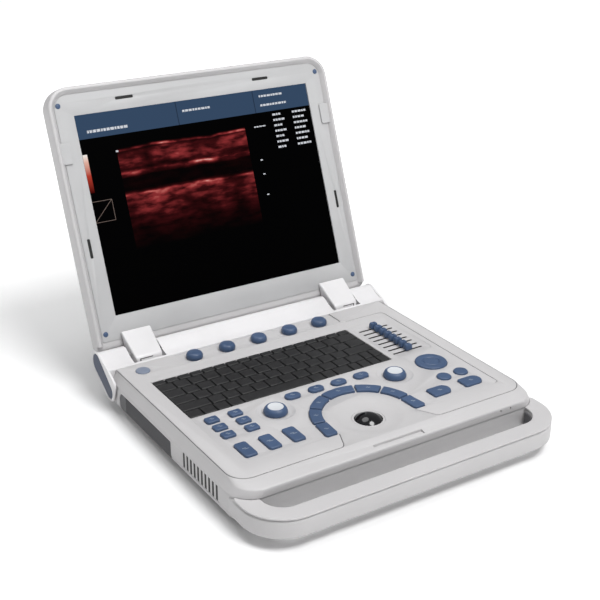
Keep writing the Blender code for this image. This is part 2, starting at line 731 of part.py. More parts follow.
def make_display():
    out = DISPLAY_BORDER
    outline = rectangle(-SCREEN_HALF - out, SCREEN_HALF + out, SCREEN_FOOT - out, SCREEN_TOP + out, 1.0, 1)
    front = -BEZEL_OFFSET - BEZEL_PLATE - GAP
    mesh = sheet("display_panel", [outline], front - DISPLAY_THICKNESS, front, turn=ALONG_Y)
    add("display_panel", mesh, SCREEN, LID)


def lid_point(depth, height):
    """(y, z) from the hinge axis, at rest, of a point of the lid."""
    y = depth * math.cos(TILT) + height * math.sin(TILT)
    return y, height * math.cos(TILT) - depth * math.sin(TILT)


def hinge_profile():
    """Section of a hinge cover at rest, from the hinge axis: a nose in the barrel and a heel on the bezel."""
    depth = BEZEL_OFFSET - GAP
    top = lid_point(depth, BEZEL_LOW + HINGE_COVER_HEIGHT)
    heel = lid_point(depth, BEZEL_LOW + 0.6)
    round_under = arc(0, 0, NOSE_REACH * 0.75, 222, 325, 5)
    nose = NOSE_REACH * 0.97
    corners = [(*top, 1.0), (-nose * 0.91, nose * 0.19, 6.0), (-nose * 0.98, -nose * 0.27, 1.5)]
    return fillet(corners + [(y, z, 0) for y, z in round_under] + [(*heel, 0)], 4)


def make_hinge_covers():
    for name, side in (("hinge_cover_left", -1), ("hinge_cover_right", 1)):
        half = HINGE_WIDTH / 2
        mesh = sheet(name, [hinge_profile()], -half, half, edge=1.0, turn=ALONG_X)
        top = max(vertex.co.z for vertex in mesh.vertices)
        for vertex in mesh.vertices:
            vertex.co.x *= 1 - NOSE_TAPER * (top - vertex.co.z) / top
        obj = add(name, mesh, WHITE, HINGE, (side * across(HINGE_MIDDLE), 0, 0))
        pin = sheet("pin", [circle(PIN_RADIUS, 16)], -PIN_LENGTH / 2, PIN_LENGTH / 2, turn=ALONG_X)
        rod = cutter(name + "_pin", [pin], HINGE)
        rod.location = obj.location
        boolean(obj, rod, "UNION")


# ---------------------------------------------------------------- controls

def make_keyboard():
    """Key block: one web with every key standing on it."""
    left, right = across(KEYBOARD_LEFT) + GAP, across(KEYBOARD_RIGHT) - GAP
    front, rear = KEYBOARD_FRONT + GAP, -GAP
    web_top = KEY_TOP - KEY_DEPTH
    web = sheet("key_block", [rectangle(left, right, front, rear, 1.2)], web_top - KEY_WEB, web_top)
    block = add("key_block", web, BLACK, BASE)
    row_unit = (rear - front) / sum(height for height, widths in KEY_ROWS)
    keys = []
    y = rear
    for height, widths in KEY_ROWS:
        unit = (right - left) / sum(widths)
        x = left
        for width in widths:
            low = (x + KEY_GAP / 2, y - height * row_unit + KEY_GAP / 2, web_top - KEY_WEB / 2)
            high = (x + width * unit - KEY_GAP / 2, y - KEY_GAP / 2, KEY_TOP)
            keys.append(box("key", low, high))
            x += width * unit
        y -= height * row_unit
    boolean(block, cutter("keys", keys, BASE), "UNION")


def make_sliders():
    """Slider caps on thin stems that run in the bay's slots."""
    places, pitch = slider_places()
    half_cap, half_depth = SLIDER_WIDTH / 2, pitch * 0.34
    stem_x, stem_y = 2.0, SLOT_WIDTH / 2 - RUNNING_GAP
    levels = (
        (-PLATE, stem_x, stem_y),
        (SLIDER_LIFT, stem_x, stem_y),
        (SLIDER_LIFT, half_cap, half_depth),
        (SLIDER_HEIGHT * 0.6, half_cap, half_depth),
        (SLIDER_HEIGHT, half_cap * 0.75, half_depth * 0.8),
    )
    for i, y in enumerate(places):
        rings = []
        for z, half_x, half_y in levels:
            corners = ((-half_x, -half_y), (half_x, -half_y), (half_x, half_y), (-half_x, half_y))
            rings.append([(a, b, z) for a, b in corners])
        name = f"tgc_slider_{i + 1}"
        add(name, loft(name, rings), BLUE, BASE, (across(SLIDER_X), y, 0))


def make_menu_knobs():
    r = MENU_KNOB_RADIUS
    floor = -TRAY_DEPTH + GAP
    profile = [(0, MENU_KNOB_TOP), (r * 0.65, MENU_KNOB_TOP - 0.5), (r * 0.88, MENU_KNOB_TOP - 1.8)]
    profile += [(r, MENU_KNOB_TOP - 4.2), (r * 0.96, floor), (KNOB_STEM, floor), (KNOB_STEM, -PLATE - 2.0)]
    profile += [(0, -PLATE - 2.0)]
    for i, x in enumerate(menu_knob_places()):
        add_turned(f"menu_knob_{i + 1}", profile, BLUE, BASE, (x, MENU_KNOB_Y, 0))


def make_dials():
    """Rotary knobs with a dished top, each standing in its own dish."""
    r = DIAL_RADIUS
    floor = -DIAL_DISH_DEPTH + RUNNING_GAP
    profile = [(0, DIAL_TOP - 1.2), (r * 0.55, DIAL_TOP - 0.7), (r * 0.66, DIAL_TOP), (r * 0.76, DIAL_TOP - 0.3)]
    profile += [(r * 0.92, DIAL_TOP - 2.2), (r, DIAL_TOP - 5.2), (r, floor), (DIAL_STEM, floor), (DIAL_STEM, -PLATE - 2.0)]
    profile += [(0, -PLATE - 2.0)]
    for name, side in (("rotary_knob_left", -1), ("rotary_knob_right", 1)):
        at = (across(side * DIAL_X), from_front(DIAL_FROM_FRONT), 0)
        add_turned(name, profile, BLUE, BASE, at, 24)


def add_button(name, outline, at):
    mesh = sheet(name, [outline], -BUTTON_SINK, BUTTON_PROUD, edge=BUTTON_EDGE)
    add(name, mesh, BLUE, BASE, at)


def make_round_buttons():
    """Power button, round buttons and the four-way pad, all turned."""
    def domed(radius, proud):
        profile = [(0, proud), (radius * 0.7, proud - 0.25), (radius - 0.2, proud - 1.1), (radius, proud - 1.6)]
        return profile + [(radius, -BUTTON_SINK), (0, -BUTTON_SINK)]

    add_turned("power_button", domed(ROUND_RADIUS, 1.8), PALE_BLUE, BASE, (across(POWER_X), POWER_Y, 0))
    for i, (x, y) in enumerate(ROUND_AT):
        at = (across(x), from_front(y), 0)
        add_turned(f"round_button_{i + 1}", domed(ROUND_RADIUS, BUTTON_PROUD), BLUE, BASE, at)
    r = PAD_RADIUS
    profile = [(0, 1.8), (r * 0.42, 1.6), (r * 0.47, 0.8), (r * 0.53, 0.8), (r * 0.58, 1.7), (r * 0.9, 1.8)]
    profile += [(r, 0.9), (r, -BUTTON_SINK), (0, -BUTTON_SINK)]
    add_turned("four_way_pad", profile, BLUE, BASE, (across(PAD_AT[0]), from_front(PAD_AT[1]), 0), 28)


def make_flat_buttons():
    groups = (
        ("small_key", SMALL_KEY, SMALL_KEY_AT),
        ("long_key", LONG_KEY, LONG_KEY_AT),
        ("oval_key", OVAL_KEY, OVAL_KEY_AT),
    )
    for stem, size, places in groups:
        for i, (x, y) in enumerate(places):
            add_button(f"{stem}_{i + 1}", grown_rectangle(size, 0.0), (across(x), from_front(y), 0))
    for i, (x, y) in enumerate(D_KEY_AT):
        add_button(f"d_key_{i + 1}", d_outline(), (across(x), from_front(y), 0))


def make_arch_keys():
    for i, outline in enumerate(arch_keys()):
        middle_x = sum(x for x, y in outline) / len(outline)
        middle_y = sum(y for x, y in outline) / len(outline)
        centred = moved(outline, -middle_x, -middle_y)
        add_button(f"arch_key_{i + 1}", centred, (middle_x, middle_y, 0))


def make_trackball():
    mesh = bpy.data.meshes.new("trackball")
    bm = bmesh.new()
    bmesh.ops.create_uvsphere(bm, u_segments=24, v_segments=14, radius=BALL_RADIUS * MM)
    bm.to_mesh(mesh)
    bm.free()
    y = from_front(BALL_FROM_FRONT)
    add("trackball", mesh, BALL, BASE, (0, y, BALL_TOP - BALL_RADIUS))
    rings = [circle(BALL_RING_RADIUS, 28), circle(BALL_RING_HOLE, 28)]
    low = BALL_RING_TOP - BALL_RING_THICKNESS
    add("trackball_ring", sheet("trackball_ring", rings, low, BALL_RING_TOP, edge=0.4), SHELL, BASE, (0, y, 0))


# ---------------------------------------------------------------- inside and feet

def make_inside():
    floor = -BELLY_DEPTH + WALL
    half = HALF - INSIDE_MARGIN
    rear = HUMP_FOOT - GAP - INSIDE_MARGIN
    board = box("main_board", (-half, rear - BOARD_DEPTH, floor + 8.0), (half, rear, floor + 8.0 + BOARD_THICKNESS))
    add("main_board", board, BOARD, BASE)
    width, depth, height = BATTERY_SIZE
    front = COVER_FRONT + INSIDE_MARGIN
    battery = box("battery_pack", (-half, front, floor + GAP), (-half + width, front + depth, floor + GAP + height))
    add("battery_pack", battery, BATTERY, BASE)


def make_feet():
    width, length = FOOT_WIDTH, DECK_DEPTH - 2 * FOOT_MARGIN
    middle = (FRONT + HUMP_FOOT) / 2
    for name, side in (("foot_left", -1), ("foot_right", 1)):
        outline = rectangle(-width / 2, width / 2, -length / 2, length / 2, width * 0.45, 4)
        mesh = sheet(name, [outline], -DECK_HEIGHT, -BELLY_DEPTH - GAP, edge=0.8)
        add(name, mesh, RUBBER, BASE, (side * (HALF - FOOT_INSET), middle, 0))


# ---------------------------------------------------------------- assembly

for old in list(bpy.data.objects):
    bpy.data.objects.remove(old)

PARTS = new_collection("ultrasound_scanner")
CUTTERS = new_collection("cutters")

SHELL = new_material("shell_grey", (0.62, 0.62, 0.64), 0.42)
WHITE = new_material("barrel_white", (0.86, 0.86, 0.87), 0.35)
BEZEL = new_material("bezel_grey", (0.46, 0.47, 0.47), 0.5)
BLUE = new_material("control_blue", (0.10, 0.17, 0.29), 0.4)
PALE_BLUE = new_material("power_blue", (0.25, 0.34, 0.48), 0.4)
NAVY = new_material("cap_navy", (0.035, 0.055, 0.11), 0.45)
BLACK = new_material("key_black", (0.02, 0.02, 0.02), 0.5)
BALL = new_material("ball_black", (0.01, 0.01, 0.012), 0.08)
SCREEN = new_material("screen_glass", (0.005, 0.005, 0.006), 0.2)
BOARD = new_material("board_green", (0.03, 0.2, 0.08), 0.5)
BATTERY = new_material("battery_case", (0.05, 0.05, 0.06), 0.6)
RUBBER = new_material("foot_rubber", (0.03, 0.03, 0.03), 0.8)

middle_y = (HANDLE_FRONT + lid_back_reach()) / 2
BASE = new_empty("base_frame", at=(0, -middle_y, DECK_HEIGHT))
HINGE = new_empty("hinge_axis", BASE, (0, HINGE_Y, HINGE_Z))
LID = new_empty("lid_frame", HINGE, turn=-TILT)

make_top_cover()
make_lower_housing()
make_handle_trim()
make_barrel()
make_end_caps()
make_lid_shell()
make_bezel()
make_display()
make_hinge_covers()
make_keyboard()
make_sliders()
make_menu_knobs()
make_dials()
make_round_buttons()
make_flat_buttons()
make_arch_keys()
make_trackball()
make_inside()
make_feet()
for piece in PARTS.objects:
    if piece.type == "MESH":
        shade(piece)
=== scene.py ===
"""Looks of the portable ultrasound scanner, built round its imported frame."""

import json
import math

import bmesh
import bpy
from bpy.props import FloatProperty, FloatVectorProperty, IntProperty, PointerProperty
from mathutils import Matrix, Vector


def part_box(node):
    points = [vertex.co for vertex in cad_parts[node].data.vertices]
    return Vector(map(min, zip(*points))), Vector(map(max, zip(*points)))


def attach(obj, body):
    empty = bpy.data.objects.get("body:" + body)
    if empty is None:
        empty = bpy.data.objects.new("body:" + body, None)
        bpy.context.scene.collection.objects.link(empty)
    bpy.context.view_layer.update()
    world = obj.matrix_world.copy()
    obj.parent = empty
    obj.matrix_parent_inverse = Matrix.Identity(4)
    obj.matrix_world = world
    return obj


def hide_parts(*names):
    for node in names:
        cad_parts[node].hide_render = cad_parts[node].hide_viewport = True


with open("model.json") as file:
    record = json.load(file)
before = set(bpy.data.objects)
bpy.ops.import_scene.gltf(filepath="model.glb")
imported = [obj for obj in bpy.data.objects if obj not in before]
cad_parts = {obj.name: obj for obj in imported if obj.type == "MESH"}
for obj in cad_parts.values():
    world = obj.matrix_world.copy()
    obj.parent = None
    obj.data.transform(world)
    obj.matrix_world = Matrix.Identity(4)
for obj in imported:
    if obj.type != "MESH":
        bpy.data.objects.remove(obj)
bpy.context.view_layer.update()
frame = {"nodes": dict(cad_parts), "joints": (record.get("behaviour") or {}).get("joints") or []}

bl_info = {
    "name": "Portable ultrasound scanner",
    "version": (1, 0, 0),
    "blender": (4, 5, 0),
    "location": "3D View > Sidebar > Scanner",
    "description": "Builds the shells, controls, display and finishes of a portable ultrasound scanner",
    "category": "Add Mesh",
}

MM = 0.001
NODES = frame["nodes"]

# The frame's own places: the deck's height, the hinge and the lid's own axes
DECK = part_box("top_cover")[1].z
HINGE = Vector(next(j["pos_m"] for j in frame["joints"] if j["name"] == "lid_hinge"))


def lid_tilt():
    """How far the lid leans back from upright, from the display's largest face."""
    widest = max(NODES["display_panel"].data.polygons, key=lambda face: face.area)
    return math.atan2(abs(widest.normal.z), abs(widest.normal.y))


TILT = lid_tilt()
LID = Matrix.Translation(HINGE) @ Matrix.Rotation(-TILT, 4, "X")
COVER_LOW, COVER_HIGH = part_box("top_cover")
HOUSING_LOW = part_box("lower_housing")[0]
BARREL_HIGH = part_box("rear_barrel")[1]
KEYS_LOW, KEYS_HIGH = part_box("key_block")
HALF = COVER_HIGH.x
FLAT_FRONT = COVER_LOW.y + 18 * MM
CORNER = 26 * MM
BALL = (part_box("trackball")[0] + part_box("trackball")[1]) / 2
ARCH_Y = BALL.y + 2 * MM
ARCH_INNER = 46.5 * MM
ARCH_OUTER = 59.5 * MM
PLATE_EDGE = 6.2 * MM  # the plate's joint, in from the side of the base
SUNK_REAR = KEYS_HIGH.y + 17 * MM
SUNK_RIGHT = 160.5 * MM
SLIDER_TRACK = (106.4 * MM, 147.6 * MM, 1.5 * MM)  # left, right and half width of a slider's slot
CHEEK = 3.1 * MM  # white plate at each end of the barrel
COVER_HALF = 18 * MM  # half width of a hinge cover
COVER_TAPER = 0.12  # how much narrower a hinge cover is at the hinge than at its top
NOTCH_GAP = 1.6 * MM
PRINT = (0.02 * MM, 0.12 * MM)  # foot and top of a lit mark, out from the display
HANDLE_ARM = 21 * MM
HANDLE_BAR = 20 * MM
HANDLE_CORNER = 45 * MM
HANDLE_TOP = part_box("handle_trim")[1].z


def in_lid(node):
    """(lowest corner, highest corner) of a node in the lid's own axes."""
    back = LID.inverted()
    points = [back @ vertex.co for vertex in NODES[node].data.vertices]
    low = Vector([min(p[i] for p in points) for i in range(3)])
    return low, Vector([max(p[i] for p in points) for i in range(3)])


LID_LOW, LID_HIGH = in_lid("lid_shell")
BEZEL_LOW = in_lid("lid_bezel")[0]
PANEL_LOW, PANEL_HIGH = in_lid("display_panel")
BEZEL_FACE = BEZEL_LOW.y
SCREEN_HALF = PANEL_HIGH.x - 5 * MM
SCREEN_FOOT = PANEL_LOW.z + 5 * MM
SCREEN_TOP = PANEL_HIGH.z - 5 * MM


# ---------------------------------------------------------------- settings

class ScannerSizes(bpy.types.PropertyGroup):
    """Sizes of the fine surface work."""

    key_round: FloatProperty(name="Key rounding", description="Rounding of the flat buttons",
                             default=1.3 * MM, unit="LENGTH")
    shell_round: FloatProperty(name="Shell rounding", description="Rounding of the shells' edges",
                               default=0.7 * MM, unit="LENGTH")
    handle_round: FloatProperty(name="Handle rounding", description="Rounding of the handle",
                                default=3.2 * MM, unit="LENGTH")
    deck_step: FloatProperty(name="Deck step", description="Depth of the sunk control area", default=1.2 * MM,
                             unit="LENGTH")
    vent_slots: IntProperty(name="Vent slots", description="Upright slots in the front vent on each side",
                            default=10, min=1)
    grille_ribs: IntProperty(name="Grille ribs", description="Ribs across each large grille", default=62,
                             min=2)
    knob_ribs: IntProperty(name="Knob ribs", description="Grip ribs round each rotary knob", default=36,
                           min=3)


class ScannerColours(bpy.types.PropertyGroup):
    """Colours of the plastics."""

    shell: FloatVectorProperty(name="Shell", description="Light grey shells", subtype="COLOR",
                               default=(0.53, 0.52, 0.525))
    white: FloatVectorProperty(name="Barrel", description="White hinge barrel", subtype="COLOR",
                               default=(0.74, 0.73, 0.74))
    bezel: FloatVectorProperty(name="Bezel", description="Grey round the screen", subtype="COLOR",
                               default=(0.465, 0.465, 0.47))
    control: FloatVectorProperty(name="Controls", description="Slate blue controls", subtype="COLOR",
                                 default=(0.05, 0.088, 0.172))
    power: FloatVectorProperty(name="Power", description="Paler power button", subtype="COLOR",
                               default=(0.20, 0.235, 0.31))
    navy: FloatVectorProperty(name="End caps", description="Navy end caps", subtype="COLOR",
                              default=(0.018, 0.034, 0.078))
    dark: FloatVectorProperty(name="Grilles", description="Dark grey grilles and liner", subtype="COLOR",
                              default=(0.105, 0.105, 0.112))
    silver: FloatVectorProperty(name="Knob caps", description="Silver tops of the rotary knobs",
                                subtype="COLOR", default=(0.66, 0.68, 0.71))


def sizes():
    return bpy.context.scene.scanner_sizes


def colours():
    return bpy.context.scene.scanner_colours


# ---------------------------------------------------------------- outlines and meshes

ALONG_X = Matrix(((0, 0, 1, 0), (1, 0, 0, 0), (0, 1, 0, 0),
                  (0, 0, 0, 1)))  # outline (y, z), thickness along x
ALONG_Y = Matrix.Rotation(math.pi / 2, 4, "X")  # outline (x, z), thickness towards -y


def arc(x, y, radius, start, end, steps):
    angles = [math.radians(start + (end - start) * i / steps) for i in range(steps + 1)]
    return [(x + radius * math.cos(a), y + radius * math.sin(a)) for a in angles]


def circle(radius, steps=48, x=0.0, y=0.0):
    return arc(x, y, radius, 0, 360, steps)[:-1]


def fillet(corners, steps=6):
    """Closed outline through corners (x, y, radius), each rounded by its own radius."""
    outline = []
    for i, (x, y, radius) in enumerate(corners):
        if radius <= 0:
            outline.append((x, y))
            continue
        here = Vector((x, y))
        before = (Vector(corners[i - 1][:2]) - here).normalized()
        after = (Vector(corners[(i + 1) % len(corners)][:2]) - here).normalized()
        half = before.angle(after) / 2
        middle = here + (before + after).normalized() * radius / math.sin(half)
        start = here + before * radius / math.tan(half) - middle
        end = here + after * radius / math.tan(half) - middle
        first = math.atan2(start.y, start.x)
        sweep = (math.atan2(end.y, end.x) - first + math.pi) % math.tau - math.pi
        for k in range(steps + 1):
            angle = first + sweep * k / steps
            outline.append((middle.x + radius * math.cos(angle), middle.y + radius * math.sin(angle)))
    return outline


def rectangle(left, right, front, rear, radius, steps=6, rear_radius=None):
    back = radius if rear_radius is None else rear_radius
    return fillet([(left, front, radius), (right, front, radius), (right, rear, back), (left, rear, back)],
                  steps)


def capsule(upper, lower, grow=0.0, steps=20):
    """Outline round two circles (y, z, radius) of unlike size, as a belt runs round two wheels."""
    (y1, z1, r1), (y2, z2, r2) = upper, lower
    lean = math.degrees(math.atan2(z1 - z2, y1 - y2))
    spread = math.degrees(math.acos((r1 - r2) / math.hypot(y1 - y2, z1 - z2)))
    around = arc(y1, z1, r1 + grow, lean - spread, lean + spread, steps)
    return around + arc(y2, z2, r2 + grow, lean + spread, lean + 360 - spread, steps)


def span(side, near, far):
    """(lower x, higher x) of a piece between two distances from the middle, on one side (-1 or 1)."""
    return sorted((side * near, side * far))


def moved(outline, x, y):
    return [(a + x, b + y) for a, b in outline]


def sheet(outlines, low, high, edge=0.0, steps=3, turn=None):
    """Mesh between two heights over a flat outline with rounded rims; outlines inside the first are holes."""
    curve = bpy.data.curves.new("sheet", "CURVE")
    curve.dimensions = "2D"
    curve.fill_mode = "BOTH"
    curve.extrude = (high - low) / 2 - edge
    curve.bevel_depth = edge
    curve.offset = -edge
    curve.bevel_resolution = steps
    for outline in outlines:
        spline = curve.splines.new("POLY")
        spline.points.add(len(outline) - 1)
        spline.use_cyclic_u = True
        for point, (x, y) in zip(spline.points, outline):
            point.co = (x, y, 0, 1)
    guide = bpy.data.objects.new("sheet", curve)
    bpy.context.scene.collection.objects.link(guide)
    mesh = bpy.data.meshes.new_from_object(guide.evaluated_get(bpy.context.evaluated_depsgraph_get()))
    bpy.data.objects.remove(guide)
    bm = bmesh.new()
    bm.from_mesh(mesh)
    bmesh.ops.translate(bm, verts=bm.verts, vec=(0, 0, (low + high) / 2))
    bmesh.ops.remove_doubles(bm, verts=bm.verts, dist=1e-5)
    bmesh.ops.recalc_face_normals(bm, faces=bm.faces)
    if turn is not None:
        bmesh.ops.transform(bm, matrix=turn, verts=bm.verts)
    bm.to_mesh(mesh)
    bm.free()
    mesh.materials.clear()
    return mesh


def loft(rings):
    """Mesh through rings of points with equally many points, closed by flat ends."""
    mesh = bpy.data.meshes.new("loft")
    bm = bmesh.new()
    loops = [[bm.verts.new(point) for point in ring] for ring in rings]
    for low, high in zip(loops, loops[1:]):
        for i in range(len(low)):
            j = (i + 1) % len(low)
            bm.faces.new((low[i], low[j], high[j], high[i]))
    bm.faces.new(loops[0])
    bm.faces.new(loops[-1])
    bmesh.ops.recalc_face_normals(bm, faces=bm.faces)
    bm.to_mesh(mesh)
    bm.free()
    return mesh


def turned(profile, steps=64):
    """Mesh of a profile (radius, z), top to bottom, turned about Z; it starts and ends on the axis."""
    mesh = bpy.data.meshes.new("turned")
    bm = bmesh.new()
    rings = []
    for radius, z in profile:
        if radius < 1e-7:
            rings.append([bm.verts.new((0, 0, z))])
        else:
            rings.append([bm.verts.new((x, y, z)) for x, y in circle(radius, steps)])
    for high, low in zip(rings, rings[1:]):
        for i in range(steps):
            j = (i + 1) % steps
            corners = [high[i % len(high)], low[i % len(low)], low[j % len(low)], high[j % len(high)]]
            bm.faces.new(list(dict.fromkeys(corners)))
    bmesh.ops.recalc_face_normals(bm, faces=bm.faces)
    bm.to_mesh(mesh)
    bm.free()
    return mesh


def box(low, high):
    mesh = bpy.data.meshes.new("box")
    bm = bmesh.new()
    size = [b - a for a, b in zip(low, high)]
    middle = [(a + b) / 2 for a, b in zip(low, high)]
    bmesh.ops.create_cube(bm, size=1.0, matrix=Matrix.Translation(middle) @ Matrix.Diagonal((*size, 1.0)))
    bm.to_mesh(mesh)
    bm.free()
    return mesh


def joined(meshes):
    """One mesh from several that don't touch; the parts are used up."""
    whole = bpy.data.meshes.new("joined")
    bm = bmesh.new()
    for mesh in meshes:
        bm.from_mesh(mesh)
        bpy.data.meshes.remove(mesh)
    bm.to_mesh(whole)
    bm.free()
    return whole


def shifted(mesh, x=0.0, y=0.0, z=0.0):
    mesh.transform(Matrix.Translation((x, y, z)))
    return mesh


def new_object(name, mesh):
    mesh.name = name
    obj = bpy.data.objects.new(name, mesh)
    bpy.context.scene.collection.objects.link(obj)
    return obj


def settle(obj):
    """Turns the object's modifiers into its mesh."""
    mesh = bpy.data.meshes.new_from_object(obj.evaluated_get(bpy.context.evaluated_depsgraph_get()))
    obj.modifiers.clear()
    obj.data = mesh
    return obj


def boolean(obj, mesh, operation="DIFFERENCE"):
    """Cuts a mesh out of the object, or joins it on, at once."""
    tool = new_object("tool", mesh)
    modifier = obj.modifiers.new("boolean", "BOOLEAN")
    modifier.operation = operation
    modifier.solver = "EXACT"
    modifier.object = tool
    settle(obj)
    bpy.data.objects.remove(tool)
    if not obj.data.polygons:
        raise RuntimeError(f"{obj.name} was lost in a Boolean")


def soften(obj, width, segments=2, angle=32.0):
    """Rounds the sharp edges of a mesh of flat faces."""
    bm = bmesh.new()
    bm.from_mesh(obj.data)
    bmesh.ops.remove_doubles(bm, verts=bm.verts, dist=2e-6)
    bmesh.ops.dissolve_limit(bm, angle_limit=math.radians(0.6), verts=bm.verts, edges=bm.edges)
    bm.to_mesh(obj.data)
    bm.free()
    modifier = obj.modifiers.new("soften", "BEVEL")
    modifier.width = width
    modifier.segments = segments
    modifier.limit_method = "ANGLE"
    modifier.angle_limit = math.radians(angle)
    modifier.use_clamp_overlap = True
    modifier.miter_outer = "MITER_ARC"
    settle(obj)


def finish_piece(obj, body, material, slot, *replaced, angle=34.0, lid=False):
    """Shades a finished mesh, gives it its finish and ties it to its body."""
    if lid:
        obj.data.transform(LID)
    obj.data.materials.clear()
    obj.data.materials.append(material)
    obj.data.shade_smooth()
    obj.data.set_sharp_from_angle(angle=math.radians(angle))
    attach(obj, body)
    if replaced:
        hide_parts(*replaced)
    return obj


# ---------------------------------------------------------------- node trees

def add_node(tree, kind, inputs=None, **settings):
    """Node with its settings, and its inputs set to values or linked from other nodes' outputs."""
    node = tree.nodes.new(kind)
    for name, value in settings.items():
        setattr(node, name, value)
    for name, value in (inputs or {}).items():
        if isinstance(value, bpy.types.NodeSocket):
            tree.links.new(value, node.inputs[name])
        else:
            node.inputs[name].default_value = value
    return node


def calc(tree, operation, a, b=0.0):
    return add_node(tree, "ShaderNodeMath", {0: a, 1: b}, operation=operation).outputs[0]


def between(tree, value, low, high):
    """1 where a value lies between two others, and 0 elsewhere."""
    above = calc(tree, "GREATER_THAN", value, low)
    return calc(tree, "MULTIPLY", above, calc(tree, "LESS_THAN", value, high))


def new_material(name):
    material = bpy.data.materials.new(name)
    material.use_nodes = True
    return material, material.node_tree, material.node_tree.nodes["Principled BSDF"]


def ramp(tree, factor, stops):
    node = add_node(tree, "ShaderNodeValToRGB", {"Fac": factor})
    elements = node.color_ramp.elements
    while len(elements) < len(stops):
        elements.new(0.5)
    for element, (position, colour) in zip(elements, stops):
        element.position = position
        element.color = (*colour, 1.0)
    return node.outputs["Color"]


def plastic(name, colour, roughness=0.42, grain=0.25, grain_scale=2200.0, mottle=0.035, coat=0.0):
    """Moulded plastic: a fine spark-eroded grain, faint flow mottling and uneven gloss."""
    material, tree, shader = new_material(name)
    place = add_node(tree, "ShaderNodeTexCoord").outputs["Object"]
    cloud = add_node(tree, "ShaderNodeTexNoise",
                     {"Vector": place, "Scale": 14.0, "Detail": 4.0, "Roughness": 0.55})
    fine = add_node(tree, "ShaderNodeTexNoise",
                    {"Vector": place, "Scale": grain_scale, "Detail": 2.0, "Roughness": 0.6})
    light = tuple(min(c * (1 + mottle), 1.0) for c in colour)
    deep = tuple(c * (1 - mottle) for c in colour)
    tint = ramp(tree, cloud.outputs["Fac"], [(0.35, deep), (0.65, light)])
    tree.links.new(tint, shader.inputs["Base Color"])
    gloss = add_node(
        tree, "ShaderNodeMapRange",
        {"Value": cloud.outputs["Fac"], "From Min": 0.3, "From Max": 0.7, "To Min": roughness - 0.05,
         "To Max": roughness + 0.06},
    )
    tree.links.new(gloss.outputs["Result"], shader.inputs["Roughness"])
    bump = add_node(tree, "ShaderNodeBump",
                    {"Height": fine.outputs["Fac"], "Strength": grain, "Distance": 0.0002})
    tree.links.new(bump.outputs["Normal"], shader.inputs["Normal"])
    shader.inputs["Coat Weight"].default_value = coat
    shader.inputs["Coat Roughness"].default_value = 0.2
    return material


def polished(name, colour, roughness=0.06):
    """Hard polished resin with faint wear marks."""
    material, tree, shader = new_material(name)
    place = add_node(tree, "ShaderNodeTexCoord").outputs["Object"]
    wear = add_node(tree, "ShaderNodeTexNoise",
                    {"Vector": place, "Scale": 90.0, "Detail": 6.0, "Roughness": 0.7})
    gloss = add_node(
        tree, "ShaderNodeMapRange",
        {"Value": wear.outputs["Fac"], "From Min": 0.4, "From Max": 0.75, "To Min": roughness,
         "To Max": roughness + 0.12},
    )
    tree.links.new(gloss.outputs["Result"], shader.inputs["Roughness"])
    tint = ramp(tree, wear.outputs["Fac"], [(0.3, colour), (0.8, tuple(c * 1.6 + 0.003 for c in colour))])
    tree.links.new(tint, shader.inputs["Base Color"])
    return material


def glow(name, colour, strength):
    """Lit mark on the display, a little uneven as thin strokes are."""
    material, tree, shader = new_material(name)
    place = add_node(tree, "ShaderNodeTexCoord").outputs["Object"]
    noise = add_node(tree, "ShaderNodeTexNoise", {"Vector": place, "Scale": 700.0, "Detail": 2.0})
    tint = ramp(tree, noise.outputs["Fac"], [(0.3, tuple(c * 0.6 for c in colour)), (0.6, colour)])
    shader.inputs["Base Color"].default_value = (0.01, 0.01, 0.01, 1.0)
    tree.links.new(tint, shader.inputs["Emission Color"])
    shader.inputs["Emission Strength"].default_value = strength
    return material


_made = {}


def finish_of(name):
    """The scanner's finishes, each made once."""
    c = colours()
    makers = {
        "shell": lambda: plastic("shell_plastic", tuple(c.shell), mottle=0.015),
        "white": lambda: plastic("barrel_plastic", tuple(c.white), 0.36, 0.15),
        "bezel": lambda: plastic("bezel_plastic", tuple(c.bezel), 0.5, 0.3),
        "control": lambda: plastic("control_plastic", tuple(c.control), 0.42, 0.2, 2600.0, 0.08),
        "power": lambda: plastic("power_plastic", tuple(c.power), 0.42, 0.2, 2600.0, 0.06),
        "navy": lambda: plastic("cap_plastic", tuple(c.navy), 0.45, 0.3, 1800.0, 0.1),
        "dark": lambda: plastic("grille_plastic", tuple(c.dark), 0.55, 0.35, 1500.0, 0.1),
        "key": lambda: plastic("key_plastic", (0.014, 0.014, 0.015), 0.5, 0.4, 2400.0, 0.15),
        "web": lambda: plastic("web_plastic", (0.004, 0.004, 0.004), 0.6, 0.2, 1500.0, 0.1),
        "silver": lambda: plastic("silver_paint", tuple(c.silver), 0.3, 0.1, 3000.0, 0.03, 0.3),
        "rubber": lambda: plastic("foot_rubber", (0.022, 0.022, 0.023), 0.8, 0.6, 900.0, 0.2),
        "ball": lambda: polished("ball_resin", (0.004, 0.004, 0.005)),
        "board": lambda: plastic("board_lacquer", (0.02, 0.16, 0.06), 0.4, 0.2, 1200.0, 0.2),
        "battery": lambda: plastic("battery_wrap", (0.03, 0.03, 0.035), 0.5, 0.2, 1200.0, 0.1),
        "mark": lambda: glow("screen_mark", (0.85, 0.88, 0.95), 0.75),
        "print": lambda: plastic("mark_print", (0.30, 0.34, 0.40), 0.5, 0.1, 2600.0, 0.1),
        "faint": lambda: glow("screen_line", (0.20, 0.13, 0.10), 0.6),
        "picture": picture,
    }
    if name not in _made:
        _made[name] = makers[name]()
    return _made[name]


